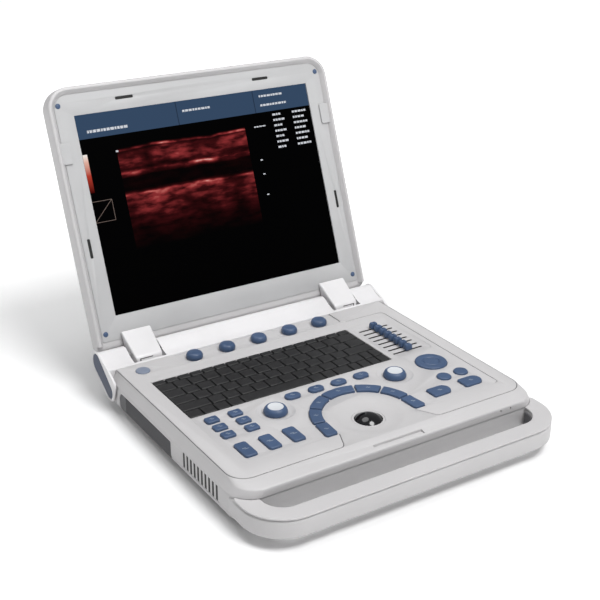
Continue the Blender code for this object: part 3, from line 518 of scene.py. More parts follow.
def picture():
    """Display: a header band, a colour bar and layered tissue in red, worked out from the place on it."""
    material, tree, shader = new_material("display_picture")
    place = add_node(tree, "ShaderNodeTexCoord").outputs["Object"]
    back = Matrix.Rotation(TILT, 3, "X")
    offset = -(back @ HINGE) - Vector((0, 0, SCREEN_FOOT))
    mapping = add_node(
        tree, "ShaderNodeMapping", {"Vector": place, "Location": offset, "Rotation": (TILT, 0, 0)},
                       vector_type="POINT"
    )
    scale = add_node(tree, "ShaderNodeVectorMath", {0: mapping.outputs[0], "Scale": 1000.0},
                     operation="SCALE")
    split = add_node(tree, "ShaderNodeSeparateXYZ", {0: scale.outputs[0]})
    u, v = split.outputs["X"], split.outputs["Z"]
    height = (SCREEN_TOP - SCREEN_FOOT) / MM

    wave_place = add_node(tree, "ShaderNodeCombineXYZ",
                          {"X": calc(tree, "MULTIPLY", u, 0.018), "Y": calc(tree, "MULTIPLY", v, 0.008)})
    wave = add_node(tree, "ShaderNodeTexNoise",
                    {"Vector": wave_place.outputs[0], "Scale": 1.0, "Detail": 2.0})
    shift = calc(tree, "MULTIPLY", calc(tree, "SUBTRACT", wave.outputs["Fac"], 0.5), 9.0)
    depth = calc(tree, "DIVIDE", calc(tree, "ADD", v, shift), height)
    layers = ramp(
        tree, depth,
        [(0.30, (0, 0, 0)), (0.40, (0.05,) * 3), (0.47, (0.24,) * 3), (0.53, (0.34,) * 3),
         (0.565, (0.46,) * 3), (0.574, (0.80,) * 3),
         (0.584, (0.10,) * 3), (0.595, (0.01,) * 3), (0.66, (0.02,) * 3), (0.672, (0.30,) * 3),
         (0.685, (0.80,) * 3),
         (0.692, (0.30,) * 3), (0.70, (0.16,) * 3), (0.73, (0.42,) * 3), (0.78, (0.40,) * 3),
         (0.793, (0.12,) * 3),
         (0.802, (0.85,) * 3), (0.81, (0, 0, 0))],
    )
    grain_place = add_node(tree, "ShaderNodeCombineXYZ",
                           {"X": calc(tree, "MULTIPLY", u, 0.05), "Y": calc(tree, "MULTIPLY", v, 0.16)})
    grain = add_node(tree, "ShaderNodeTexNoise",
                     {"Vector": grain_place.outputs[0], "Scale": 1.0, "Detail": 5.0, "Roughness": 0.5})
    speckle = add_node(
        tree, "ShaderNodeMapRange",
        {"Value": grain.outputs["Fac"], "From Min": 0.34, "From Max": 0.66, "To Min": 0.25, "To Max": 1.2},
    )
    tissue = calc(tree, "MULTIPLY", layers, speckle.outputs["Result"])
    blob_place = add_node(tree, "ShaderNodeCombineXYZ",
                          {"X": calc(tree, "MULTIPLY", u, 0.022), "Y": calc(tree, "MULTIPLY", v, 0.03)})
    blob = add_node(tree, "ShaderNodeTexNoise",
                    {"Vector": blob_place.outputs[0], "Scale": 1.0, "Detail": 3.0})
    shade = add_node(
        tree, "ShaderNodeMapRange",
        {"Value": blob.outputs["Fac"], "From Min": 0.38, "From Max": 0.6, "To Min": 0.25, "To Max": 1.1},
    )
    tissue = calc(tree, "MULTIPLY", tissue, shade.outputs["Result"])
    tissue = calc(tree, "MULTIPLY", tissue, between(tree, u, -110.0, 57.0))
    tissue_colour = ramp(
        tree, tissue,
        [(0.0, (0, 0, 0)), (0.14, (0.05, 0.004, 0.005)), (0.42, (0.30, 0.032, 0.034)),
         (0.7, (0.62, 0.16, 0.14)),
         (1.0, (0.95, 0.66, 0.6))],
    )
    header = calc(tree, "GREATER_THAN", v, height - 27.0)
    rule = between(tree, calc(tree, "ABSOLUTE", calc(tree, "SUBTRACT", u, 24.5)), 51.0, 52.0)
    header_colour = add_node(tree, "ShaderNodeMix",
                             {"Factor": rule, "A": (0.040, 0.075, 0.14, 1), "B": (0.018, 0.032, 0.06, 1)},
                             data_type="RGBA")
    bar = calc(tree, "MULTIPLY", between(tree, u, -151.0, -145.5), between(tree, v, 139.0, 182.0))
    bar_place = calc(tree, "DIVIDE", calc(tree, "SUBTRACT", v, 139.0), 43.0)
    bar_colour = ramp(tree, bar_place,
                      [(0.0, (0.04, 0.0, 0.0)), (0.45, (0.5, 0.05, 0.03)), (0.8, (0.85, 0.5, 0.4)),
                       (1.0, (1.0, 0.95, 0.9))])

    with_header = add_node(
        tree, "ShaderNodeMix", {"Factor": header, "A": tissue_colour, "B": header_colour.outputs["Result"]},
                           data_type="RGBA"
    )
    whole = add_node(tree, "ShaderNodeMix",
                     {"Factor": bar, "A": with_header.outputs["Result"], "B": bar_colour}, data_type="RGBA")
    tree.links.new(whole.outputs["Result"], shader.inputs["Emission Color"])
    shader.inputs["Emission Strength"].default_value = 0.85
    shader.inputs["Base Color"].default_value = (0.0006, 0.0006, 0.0007, 1.0)
    shader.inputs["Roughness"].default_value = 0.3
    shader.inputs["Specular IOR Level"].default_value = 0.01
    return material


def repeat_tree(name, kind):
    """Geometry Nodes: an object repeated in a straight row, or round a circle about Z, as one real mesh."""
    tree = bpy.data.node_groups.new(name, "GeometryNodeTree")
    face = tree.interface
    face.new_socket("Geometry", in_out="OUTPUT", socket_type="NodeSocketGeometry")
    for label, socket in (("Part", "NodeSocketObject"), ("Count", "NodeSocketInt"),
                          ("Step", "NodeSocketVector"),
                          ("Start", "NodeSocketVector"), ("Material", "NodeSocketMaterial")):
        face.new_socket(label, in_out="INPUT", socket_type=socket)
    given = tree.nodes.new("NodeGroupInput").outputs
    part = add_node(tree, "GeometryNodeObjectInfo", {"Object": given["Part"]})
    if kind == "row":
        spots = add_node(tree, "GeometryNodeMeshLine",
                         {"Count": given["Count"], "Start Location": given["Start"], "Offset": given["Step"]})
        copies = add_node(tree, "GeometryNodeInstanceOnPoints",
                          {"Points": spots.outputs["Mesh"], "Instance": part.outputs["Geometry"]})
    else:
        spots = add_node(tree, "GeometryNodeMeshLine",
                         {"Count": given["Count"], "Start Location": given["Start"], "Offset": (0, 0, 0)})
        index = add_node(tree, "GeometryNodeInputIndex").outputs[0]
        share = add_node(tree, "ShaderNodeMath", {0: index, 1: given["Count"]}, operation="DIVIDE").outputs[0]
        turn = add_node(tree, "ShaderNodeMath", {0: share, 1: math.tau}, operation="MULTIPLY").outputs[0]
        spin = add_node(tree, "ShaderNodeCombineXYZ", {"Z": turn})
        copies = add_node(
            tree, "GeometryNodeInstanceOnPoints",
            {"Points": spots.outputs["Mesh"], "Instance": part.outputs["Geometry"],
             "Rotation": spin.outputs[0]},
        )
    real = add_node(tree, "GeometryNodeRealizeInstances", {"Geometry": copies.outputs["Instances"]})
    painted = add_node(tree, "GeometryNodeSetMaterial",
                       {"Geometry": real.outputs["Geometry"], "Material": given["Material"]})
    out = tree.nodes.new("NodeGroupOutput")
    tree.links.new(painted.outputs["Geometry"], out.inputs["Geometry"])
    return tree


def repeated(mesh, count, start, step=(0, 0, 0), kind="row", material=None):
    """Mesh of copies of a small mesh, made by Geometry Nodes."""
    if kind not in _made:
        _made[kind] = repeat_tree("repeat_" + kind, kind)
    tree = _made[kind]
    part = new_object("part", mesh)
    holder = new_object("holder", bpy.data.meshes.new("holder"))
    modifier = holder.modifiers.new("repeat", "NODES")
    modifier.node_group = tree
    values = {"Part": part, "Count": count, "Step": step, "Start": start, "Material": material}
    for socket in tree.interface.items_tree:
        if socket.in_out == "INPUT":
            modifier[socket.identifier] = values[socket.name]
    settle(holder)
    result = holder.data
    bpy.data.objects.remove(holder)
    bpy.data.objects.remove(part)
    return result


# ---------------------------------------------------------------- places of the controls

def spot(node):
    """Middle x, middle y, half width and half depth of a node, seen from above."""
    low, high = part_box(node)
    return (low.x + high.x) / 2, (low.y + high.y) / 2, (high.x - low.x) / 2, (high.y - low.y) / 2


def nodes_named(stem):
    return sorted(name for name in NODES if name.startswith(stem))


ROUND_NODES = ["power_button", "four_way_pad"] + nodes_named("round_button")
FLAT_NODES = {"small_key": 2.5 * MM, "long_key": 3 * MM, "oval_key": 5.4 * MM}


def d_outline(half_x, half_y, grow=0.0):
    """Button with one straight end and one round end."""
    x, y = half_x + grow, half_y + grow
    big = 8 * MM + grow
    return fillet([(-x, -y, 2 * MM), (x, -y, big), (x, y, big), (-x, y, 2 * MM)], 10)


def arch_key_outlines(grow=0.0):
    """Outlines of the seven arch keys, from left to right, or of their openings."""
    spread = math.degrees(2.6 * MM / ARCH_OUTER)
    more = math.degrees(grow / ARCH_OUTER)
    inner, outer = ARCH_INNER - grow, ARCH_OUTER + grow
    ends = (19.3, 49.8, 81.0)

    def rounded(outline, corners):
        return fillet([(x, y, corners.get(i, 0)) for i, (x, y) in enumerate(outline)], 5)

    def sector(start, end, steps):
        rim = arc(0, ARCH_Y, outer, 90 - start + more, 90 - end - more, steps)
        whole = rim + arc(0, ARCH_Y, inner, 90 - end - more, 90 - start + more, steps)
        tight = 1.1 * MM
        return rounded(whole, {0: tight, steps: tight, steps + 1: tight, 2 * steps + 1: tight})

    flare, foot = 2.5 * MM, ARCH_Y - 18 * MM - grow
    start = ends[2] + spread - more
    leg = arc(0, ARCH_Y, outer, 90 - start, 0, 4) + [(outer + flare, foot), (inner + flare / 2, foot)]
    leg += arc(0, ARCH_Y, inner, 0, 90 - start, 4)
    leg = rounded(leg, {0: 1.1 * MM, 5: 3.4 * MM, 6: 3.4 * MM, len(leg) - 1: 1.1 * MM})
    right = [sector(ends[0] + spread, ends[1], 12), sector(ends[1] + spread, ends[2], 12), leg]
    left = [[(-x, y) for x, y in reversed(outline)] for outline in reversed(right)]
    return left + [sector(-ends[0], ends[0], 16)] + right


# ---------------------------------------------------------------- base

def cover_levels():
    """(height, side inset, front inset, corner radius) of the cover from its skirt up to the flat deck."""
    rows = (
        (-12, 0, 0, 26), (-11.4, 0.2, 0.05, 26), (-9, 1.9, 0.1, 25), (-7, 3.3, 0.2, 24.7),
            (-5, 4.3, 0.4, 24.5),
        (-4.2, 4.7, 0.9, 24.2), (-3.6, 5.1, 1.8, 24), (-0.45, 5.6, 15.4, 22), (-0.1, 5.75, 17.2, 21.4),
        (0, 6.1, 18, 21),
    )
    return [tuple(value * MM for value in row) for row in rows]


def cover_blank():
    rings = []
    for z, side, front, corner in cover_levels():
        outline = rectangle(-HALF + side, HALF - side, COVER_LOW.y + front, COVER_HIGH.y, corner, 12,
                            0.5 * MM)
        rings.append([(x, y, DECK + z) for x, y in outline])
    return loft(rings)


def sunk_area():
    """The control area, a low step below the deck at the back that runs out towards the front."""
    rear, front = SUNK_REAR, FLAT_FRONT + 22 * MM
    low = rectangle(-155.5 * MM, 158.5 * MM, front + 1 * MM, rear - 3.2 * MM, 5 * MM, 8)
    high = rectangle(-158.5 * MM, SUNK_RIGHT, front, rear, 7 * MM, 8)

    def depth(y):
        return sizes().deck_step * (0.12 + 0.88 * (y - front) / (rear - front))

    rings = []
    for outline, share, lift in ((low, 1.0, 0.0), (high, 0.0, 0.0), (high, 0.0, 8 * MM)):
        rings.append([(x, y, DECK + lift - depth(y) * share) for x, y in outline])
    return loft(rings)


def ribbon(path, half):
    """Closed outline of a path with a width."""
    sides = ([], [])
    for i, (x, y) in enumerate(path):
        before = Vector(path[max(i - 1, 0)])
        after = Vector(path[min(i + 1, len(path) - 1)])
        along = (after - before).normalized()
        sides[0].append((x - along.y * half, y + along.x * half))
        sides[1].append((x + along.y * half, y - along.x * half))
    return sides[0] + sides[1][::-1]


def plate_groove(half, low, high):
    """Joint round the control plate, up to the arch's feet, and the line round the sunk control area."""
    foot = ARCH_Y - 18.4 * MM
    meshes = []
    for side, corner in ((-1, -56 * MM), (1, 60 * MM)):
        edge = side * (HALF - PLATE_EDGE)
        reach = side * ARCH_INNER + side * 0.4 * MM
        corners = [(edge, COVER_HIGH.y - 1 * MM, 0), (edge, FLAT_FRONT + 0.2 * MM, 20 * MM),
                   (corner, FLAT_FRONT + 0.2 * MM, 8 * MM)]
        around = fillet(corners + [(reach, foot, 0)], 10)
        meshes.append(sheet([ribbon(around, half)], DECK + low, DECK + high))
    front = FLAT_FRONT + 24 * MM
    inner = fillet([(107 * MM, SUNK_REAR, 0), (SUNK_RIGHT, SUNK_REAR, 7 * MM), (SUNK_RIGHT, front, 3 * MM),
                    (156 * MM, front, 0)], 8)
    meshes.append(sheet([ribbon(inner, half * 0.8)], DECK + low, DECK + high))
    return joined(meshes)


def deck_cutters():
    """Sunk control area, knob tray, slider bay, dishes, the plate's joint and the slope's finger slot."""
    yield sunk_area()
    tray = rectangle(-110 * MM, 103 * MM, KEYS_HIGH.y + 18.6 * MM, COVER_HIGH.y + 6 * MM, 6 * MM, 8)
    bay_low, bay_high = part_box("tgc_slider_8"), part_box("tgc_slider_1")
    front, rear = bay_low[0].y - 8 * MM, bay_high[1].y + 8 * MM
    bay = [(DECK + z, rectangle(104 * MM - o, 154 * MM + o, front - o, rear + o, 5 * MM + o, 8))
           for z, o in ((-2.6 * MM, -2.2 * MM), (-0.9 * MM, 0.6 * MM), (9 * MM, 0.6 * MM))]
    dishes = [sheet([tray], DECK - 2 * MM, DECK + 9 * MM),
              loft([[(x, y, z) for x, y in ring] for z, ring in bay])]
    for node in nodes_named("rotary_knob"):
        x, y = spot(node)[:2]
        profile = [(0, 9), (21, 9), (21, 0), (20.2, -0.6), (18, -1.8), (15, -2.8), (0, -3)]
        dishes.append(shifted(turned([(r * MM, z * MM) for r, z in profile], 72), x, y, DECK))
    profile = [(0, 9), (38.5, 9), (38.5, 0.1), (37, -0.4), (33, -1.7), (28, -3.2), (23, -4.2), (19, -4.7),
               (0, -4.8)]
    dishes.append(shifted(turned([(r * MM, z * MM) for r, z in profile], 96), BALL.x, BALL.y, DECK))
    yield joined(dishes)
    yield plate_groove(0.5 * MM, -1.1 * MM, 2 * MM)
    slot_y = COVER_LOW.y + 5.5 * MM
    slot = rectangle(-30 * MM, 30 * MM, slot_y - 3.2 * MM, slot_y + 3.2 * MM, 1.2 * MM, 4)
    yield sheet([slot], DECK - 4.8 * MM, DECK + 3 * MM)
    slots = [box((x * MM - 0.7 * MM, COVER_LOW.y - 2 * MM, DECK - 8.6 * MM),
                 (x * MM + 0.7 * MM, COVER_LOW.y + 1.6 * MM, DECK - 6 * MM))
             for x in (128, 141)]
    yield joined(slots)


def deck_holes():
    """Openings for every control, a running gap wider than the control."""
    gap = 0.35 * MM
    low, high = DECK - 14 * MM, DECK + 10 * MM
    keyboard = rectangle(KEYS_LOW.x - gap, KEYS_HIGH.x + gap, KEYS_LOW.y - gap, KEYS_HIGH.y + gap, 1.5 * MM,
                         4)
    outlines = [keyboard, circle(17.3 * MM, 64, BALL.x, BALL.y)] + arch_key_outlines(gap)
    for node in ROUND_NODES:
        x, y, half, _ = spot(node)
        outlines.append(circle(half + gap, 56, x, y))
    for stem, radius in FLAT_NODES.items():
        for node in nodes_named(stem):
            x, y, a, b = spot(node)
            outlines.append(rectangle(x - a - gap, x + a + gap, y - b - gap, y + b + gap, radius + gap, 7))
    for node in nodes_named("d_key"):
        x, y, a, b = spot(node)
        outlines.append(moved(d_outline(a, b, gap), x, y))
    for node in nodes_named("tgc_slider"):
        y = spot(node)[1]
        left, right, half = SLIDER_TRACK
        outlines.append(rectangle(left, right, y - half, y + half, 1.2 * MM, 4))
    for node in nodes_named("menu_knob") + nodes_named("rotary_knob"):
        x, y, half, _ = spot(node)
        outlines.append(circle((4.0 if half < 11 * MM else 5.6) * MM, 24, x, y))
    return joined([sheet([outline], low, high) for outline in outlines])


class SCANNER_OT_top_cover(bpy.types.Operator):
    """Deck with its sloped shoulders, sunk control area, dishes and openings"""

    bl_idname = "scanner.top_cover"
    bl_label = "Top cover"

    def execute(self, context):
        cover = new_object("deck_cover", cover_blank())
        inside = rectangle(-HALF + 6 * MM, HALF - 6 * MM, COVER_LOW.y + 3 * MM, COVER_HIGH.y - 3 * MM,
                           20 * MM, 6, 2 * MM)
        boolean(cover, sheet([inside], DECK - 14 * MM, DECK - 6.5 * MM))
        for mesh in deck_cutters():
            boolean(cover, mesh)
        boolean(cover, deck_holes())
        soften(cover, 0.45 * MM, 2)
        finish_piece(cover, "base", finish_of("shell"), "shell_grey", "top_cover")
        joint = new_object("plate_joint", plate_groove(0.36 * MM, -1.05 * MM, -0.5 * MM))
        finish_piece(joint, "base", finish_of("dark"), "grille_dark")
        return {"FINISHED"}


def handle_outline(inset=0.0, rear=None):
    back = COVER_LOW.y + CORNER if rear is None else rear
    return rectangle(-HALF + inset, HALF - inset, HOUSING_LOW.y + inset, back, HANDLE_CORNER - inset, 16,
                     6 * MM)


def handle_hole(inset=0.0):
    half = HALF - HANDLE_ARM - inset
    front = HOUSING_LOW.y + HANDLE_BAR + inset
    return rectangle(-half, half, front, COVER_LOW.y + 6 * MM, HANDLE_CORNER / 2 - inset, 12, 6 * MM)


def housing_rings(inset, top):
    """Rings of the lower housing from its underside up."""
    belly = HOUSING_LOW.z
    levels = [(belly + inset, 12.0), (belly + 0.6 * MM + inset, 9.2), (belly + 2 * MM + inset, 6.2),
              (belly + 4.5 * MM + inset, 3.2), (belly + 8 * MM + inset, 1.5), (belly + 12 * MM + inset, 0.9),
              (top, 0.8)]
    rings = []
    for z, tuck in levels:
        pull = tuck * MM + inset
        outline = rectangle(
            -HALF + pull, HALF - pull, COVER_LOW.y + pull, COVER_HIGH.y - tuck * 0.6 * MM - inset + 0.5 * MM,
            CORNER - tuck * 0.6 * MM - inset, 10, 1.2 * MM,
        )
        rings.append([(x, y, z) for x, y in outline])
    return rings


VENT_SLOTS = (-191 * MM, -124 * MM)  # from the keyboard's rear edge
GRILLE = (-95 * MM, 29 * MM)
GRILLE_HEIGHT = (-38 * MM, -17.5 * MM)  # from the deck


def grille_outline(zero, inset=0.0):
    """Outline (y, z) of the large side opening, rounder at its rear top corner."""
    front, rear = zero + GRILLE[0] + inset, zero + GRILLE[1] - inset
    low, high = DECK + GRILLE_HEIGHT[0] + inset, DECK + GRILLE_HEIGHT[1] - inset
    small = 1.6 * MM
    return fillet([(front, low, small), (rear, low, 3 * MM), (rear, high, 9 * MM - inset),
                   (front, high, small)], 8)


class SCANNER_OT_lower_housing(bpy.types.Operator):
    """Lower housing with its carry handle, side vents and grilles"""

    bl_idname = "scanner.lower_housing"
    bl_label = "Lower housing"

    def execute(self, context):
        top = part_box("top_cover")[0].z - 0.3 * MM
        zero = KEYS_HIGH.y
        housing = new_object("housing_shell", loft(housing_rings(0.0, top)))
        loop_top = HANDLE_TOP - 2.3 * MM
        low = DECK - 35 * MM
        boolean(housing, sheet([handle_outline(), handle_hole()], low, loop_top, sizes().handle_round, 4),
                "UNION")
        boolean(housing, loft(housing_rings(3 * MM, top + 2 * MM)))
        slots = []
        count = sizes().vent_slots
        start, end = (zero + y for y in VENT_SLOTS)
        pitch = (end - start) / (count - 1)
        for side in (-1, 1):
            x = side * HALF
            low_corner = (x - 9 * MM, -2.0 * MM, DECK - 32 * MM)
            slot = box(low_corner, (x + 9 * MM, 2.0 * MM, DECK - 15.5 * MM))
            slots.append(repeated(slot, count, (0, start, 0), (0, pitch, 0)))
            near, far = sorted((x - side * 1.8 * MM, x + side * 9 * MM))
            slots.append(sheet([grille_outline(zero)], near, far, turn=ALONG_X))
        boolean(housing, joined(slots))
        soften(housing, sizes().shell_round, 2, 38.0)
        finish_piece(housing, "base", finish_of("shell"), "shell_grey", "lower_housing")
        self.grilles(zero)
        self.liner(low, loop_top)
        self.trim()
        return {"FINISHED"}

    def grilles(self, zero):
        """Dark grilles of fine upright ribs in the side openings, and near-black backs inside the vent slots,
        painted shade for the dark hollow behind them.
        """
        ribs = sizes().grille_ribs
        parts, painted_shade_backs = [], []
        low, high = DECK + GRILLE_HEIGHT[0], DECK + GRILLE_HEIGHT[1]
        pitch = (GRILLE[1] - GRILLE[0]) / ribs
        for side in (-1, 1):
            near, far = span(side, HALF - 2.6 * MM, HALF - 1.7 * MM)
            parts.append(sheet([grille_outline(zero, 0.25 * MM)], near, far, turn=ALONG_X))
            near, far = span(side, HALF - 1.8 * MM, HALF - 1.05 * MM)
            rib = box((near, 0, low + 1.6 * MM), (far, pitch * 0.5, high - 1.6 * MM))
            count = ribs - 8
            parts.append(repeated(rib, count, (0, zero + GRILLE[0] + 1.2 * MM, 0), (0, pitch, 0)))
            # Painted shade: near-black boxes fill the vent slots where the hollow housing would lie in shade.
            near, far = span(side, HALF - 4.5 * MM, HALF - 1.0 * MM)
            slots = (zero + VENT_SLOTS[0] - 4 * MM, zero + VENT_SLOTS[1] + 4 * MM)
            painted_shade_backs.append(box((near, slots[0], DECK - 33 * MM), (far, slots[1], DECK - 14.5 * MM)))
        grille = new_object("side_grilles", joined(parts))
        finish_piece(grille, "base", finish_of("dark"), "grille_dark")
        finish_piece(new_object("vent_backs", joined(painted_shade_backs)), "base", finish_of("web"), "key_black")

    def liner(self, low, high):
        """Dark soft liner inside the handle's loop, from one side of the base round to the other."""
        edge = COVER_LOW.y - 1.0 * MM
        outer = [(x, y) for x, y in handle_hole(0.15 * MM) if y < edge]
        inner = [(x, y) for x, y in handle_hole(1.7 * MM) if y < edge]
        around = sorted(outer, key=lambda p: math.atan2(p[0], -(p[1] - edge + 0.5 * MM)))
        back = sorted(inner, key=lambda p: math.atan2(p[0], -(p[1] - edge + 0.5 * MM)))
        ends = [(around[-1][0], edge), (back[-1][0], edge)]
        start = [(back[0][0], edge), (around[0][0], edge)]
        mesh = sheet([around + ends + back[::-1] + start], low + 2.6 * MM, high - 2.6 * MM, 0.4 * MM, 2)
        finish_piece(new_object("grip_liner", mesh), "base", finish_of("dark"), "grille_dark")

    def trim(self):
        rear = COVER_LOW.y + CORNER * 0.6
        mesh = sheet([handle_outline(0.0, rear), handle_hole()], HANDLE_TOP - 2 * MM, HANDLE_TOP, 0.75 * MM,
                     3)
        trim = new_object("handle_top", mesh)
        body = rectangle(-HALF, HALF, COVER_LOW.y - 0.3 * MM, COVER_HIGH.y, CORNER, 16)
        boolean(trim, sheet([body], HANDLE_TOP - 6 * MM, HANDLE_TOP + 6 * MM))
        finish_piece(trim, "base", finish_of("shell"), "shell_grey", "handle_trim")


class SCANNER_OT_barrel(bpy.types.Operator):
    """White hinge barrel across the back, with its navy end caps"""

    bl_idname = "scanner.barrel"
    bl_label = "Hinge barrel"

    upper = (5.0 * MM, -3.0 * MM, 12.5 * MM)  # y, z and radius of the round edges, from the hinge axis
    lower = (-25.0 * MM, -24.0 * MM, 10.0 * MM)
    foot = -24.0 * MM

    def place(self, circle_size):
        y, z, radius = circle_size
        return HINGE.y + y, HINGE.z + z, radius

    def profile(self):
        y1, z1, r1 = self.place(self.upper)
        y2, z2, r2 = self.place(self.lower)
        foot = HINGE.y + self.foot
        lean = math.degrees(math.atan2(z1 - z2, y1 - y2))
        crest = arc(y1, z1, r1 - 0.4 * MM, lean - 90, lean + 90, 36)
        rise = [(foot + 17.5 * MM, DECK + 4.6 * MM), (foot + 13.5 * MM, DECK + 2.6 * MM),
                (foot + 9 * MM, DECK + 1.1 * MM)]
        rise += [(foot + 4.5 * MM, DECK + 0.3 * MM), (foot, DECK)]
        under = arc(y2, z2, r2, -82, lean - 90, 8)
        return crest + rise + [(foot, z2 - r2)] + under

    def cheek(self):
        y1, z1, r1 = self.place(self.upper)
        y2, z2, r2 = self.place(self.lower)
        foot = HINGE.y + self.foot
        lean = math.degrees(math.atan2(z1 - z2, y1 - y2))
        crest = [(y, z, 0) for y, z in arc(y1, z1, r1 + 0.5 * MM, lean - 90, lean + 90, 30)]
        low = z2 - r2 - 1.0 * MM
        belly = [(foot + 4 * MM, DECK + 1.5 * MM, 6 * MM), (foot - 17 * MM, DECK - 10 * MM, 8 * MM),
                 (foot - 8 * MM, low, 7 * MM)]
        return fillet(crest + belly + [(foot + 5.5 * MM, low, 6 * MM)], 8)

    def execute(self, context):
        barrel = new_object("barrel_shell",
                            sheet([self.profile()], -HALF - 1.2 * MM, HALF + 1.2 * MM, turn=ALONG_X))
        outside = BARREL_HIGH.x
        ends = []
        pockets = []
        cap_upper = (HINGE.y + 5.8 * MM, HINGE.z - 3.2 * MM, 11.2 * MM)
        cap_lower = (HINGE.y - 24 * MM, HINGE.z - 23.8 * MM, 8.8 * MM)
        for side in (-1, 1):
            near, far = span(side, outside - CHEEK, outside)
            ends.append(sheet([self.cheek()], near, far, 1.3 * MM, 4, ALONG_X))
            near, far = span(side, outside - 2 * MM, outside + 5 * MM)
            pockets.append(sheet([capsule(cap_upper, cap_lower, 0.3 * MM)], near, far, turn=ALONG_X))
        boolean(barrel, joined(ends), "UNION")
        boolean(barrel, joined(pockets))
        self.notches(barrel)
        soften(barrel, 0.5 * MM, 2, 40.0)
        finish_piece(barrel, "base", finish_of("white"), "barrel_white", "rear_barrel", angle=40.0)
        for name, side in (("end_cap_left", -1), ("end_cap_right", 1)):
            near, far = span(side, outside - 1.9 * MM, outside - 0.1 * MM)
            cap = new_object(name + "_cover",
                             sheet([capsule(cap_upper, cap_lower, 0.0, 28)], near, far, 0.85 * MM, 5,
                                   ALONG_X))
            finish_piece(cap, "base", finish_of("navy"), "cap_navy", name)
        self.notch_liners()
        return {"FINISHED"}

    def notch_liners(self):
        """Dark plates on the notches' side walls, beside the hinge covers, as painted shade for the dark gaps
        there.
        """
        parts = []
        for node in nodes_named("hinge_cover"):
            x = spot(node)[0]
            for side in (-1, 1):
                near, far = sorted((x + side * 18.9 * MM, x + side * 19.5 * MM))
                ring = arc(HINGE.y, HINGE.z, 18 * MM, 160, 118, 14)
                ring += arc(HINGE.y, HINGE.z, 7 * MM, 118, 160, 8)
                parts.append(sheet([ring], near, far, turn=ALONG_X))
        # Painted shade: near-black plates stand for the shade in the narrow gaps beside the covers.
        shade_plates = new_object("notch_liners", joined(parts))
        boolean(shade_plates, sheet([self.profile()], -HALF, HALF, turn=ALONG_X), "INTERSECT")
        finish_piece(shade_plates, "base", finish_of("dark"), "grille_dark")

    def notches(self, barrel):
        """Openings that the hinge covers turn in, with bores for their pins."""
        cuts = []
        bores = []
        for node in nodes_named("hinge_cover"):
            x, _, half, _ = spot(node)
            width = COVER_HALF + NOTCH_GAP
            cuts.append(sheet([circle(20.5 * MM, 72, HINGE.y, HINGE.z)], x - width, x + width, turn=ALONG_X))
            bore = circle(4.4 * MM, 32, HINGE.y, HINGE.z)
            bores.append(sheet([bore], x - half - 0.4 * MM, x + half + 0.4 * MM, turn=ALONG_X))
        boolean(barrel, joined(bores))
        boolean(barrel, joined(cuts))


# ---------------------------------------------------------------- lid

def lid_outline(inset, foot_inset=None):
    """Outline of the lid in (x, z) of its own axes, drawn in from its outer edge."""
    foot = inset if foot_inset is None else foot_inset
    half = LID_HIGH.x - inset
    low = max(8 * MM - foot, 1 * MM)
    top = 25 * MM - inset
    left = -half
    corners = [(left, LID_LOW.z + foot, low), (half, LID_LOW.z + foot, low), (half, LID_HIGH.z - inset, top)]
    return fillet(corners + [(left, LID_HIGH.z - inset, top)], 14)


def lid_ring(inset, depth):
    """Ring of the lid's outside at a depth behind the bezel, where the lower edge curls back."""
    curl_size = 7.8 * MM
    curl = 0.0
    if depth < curl_size:
        curl = curl_size - math.sqrt(max(curl_size**2 - (curl_size - max(depth, 0.0)) ** 2, 0.0))
    return [(x, BEZEL_FACE + depth, z) for x, z in lid_outline(inset, max(inset, curl))]


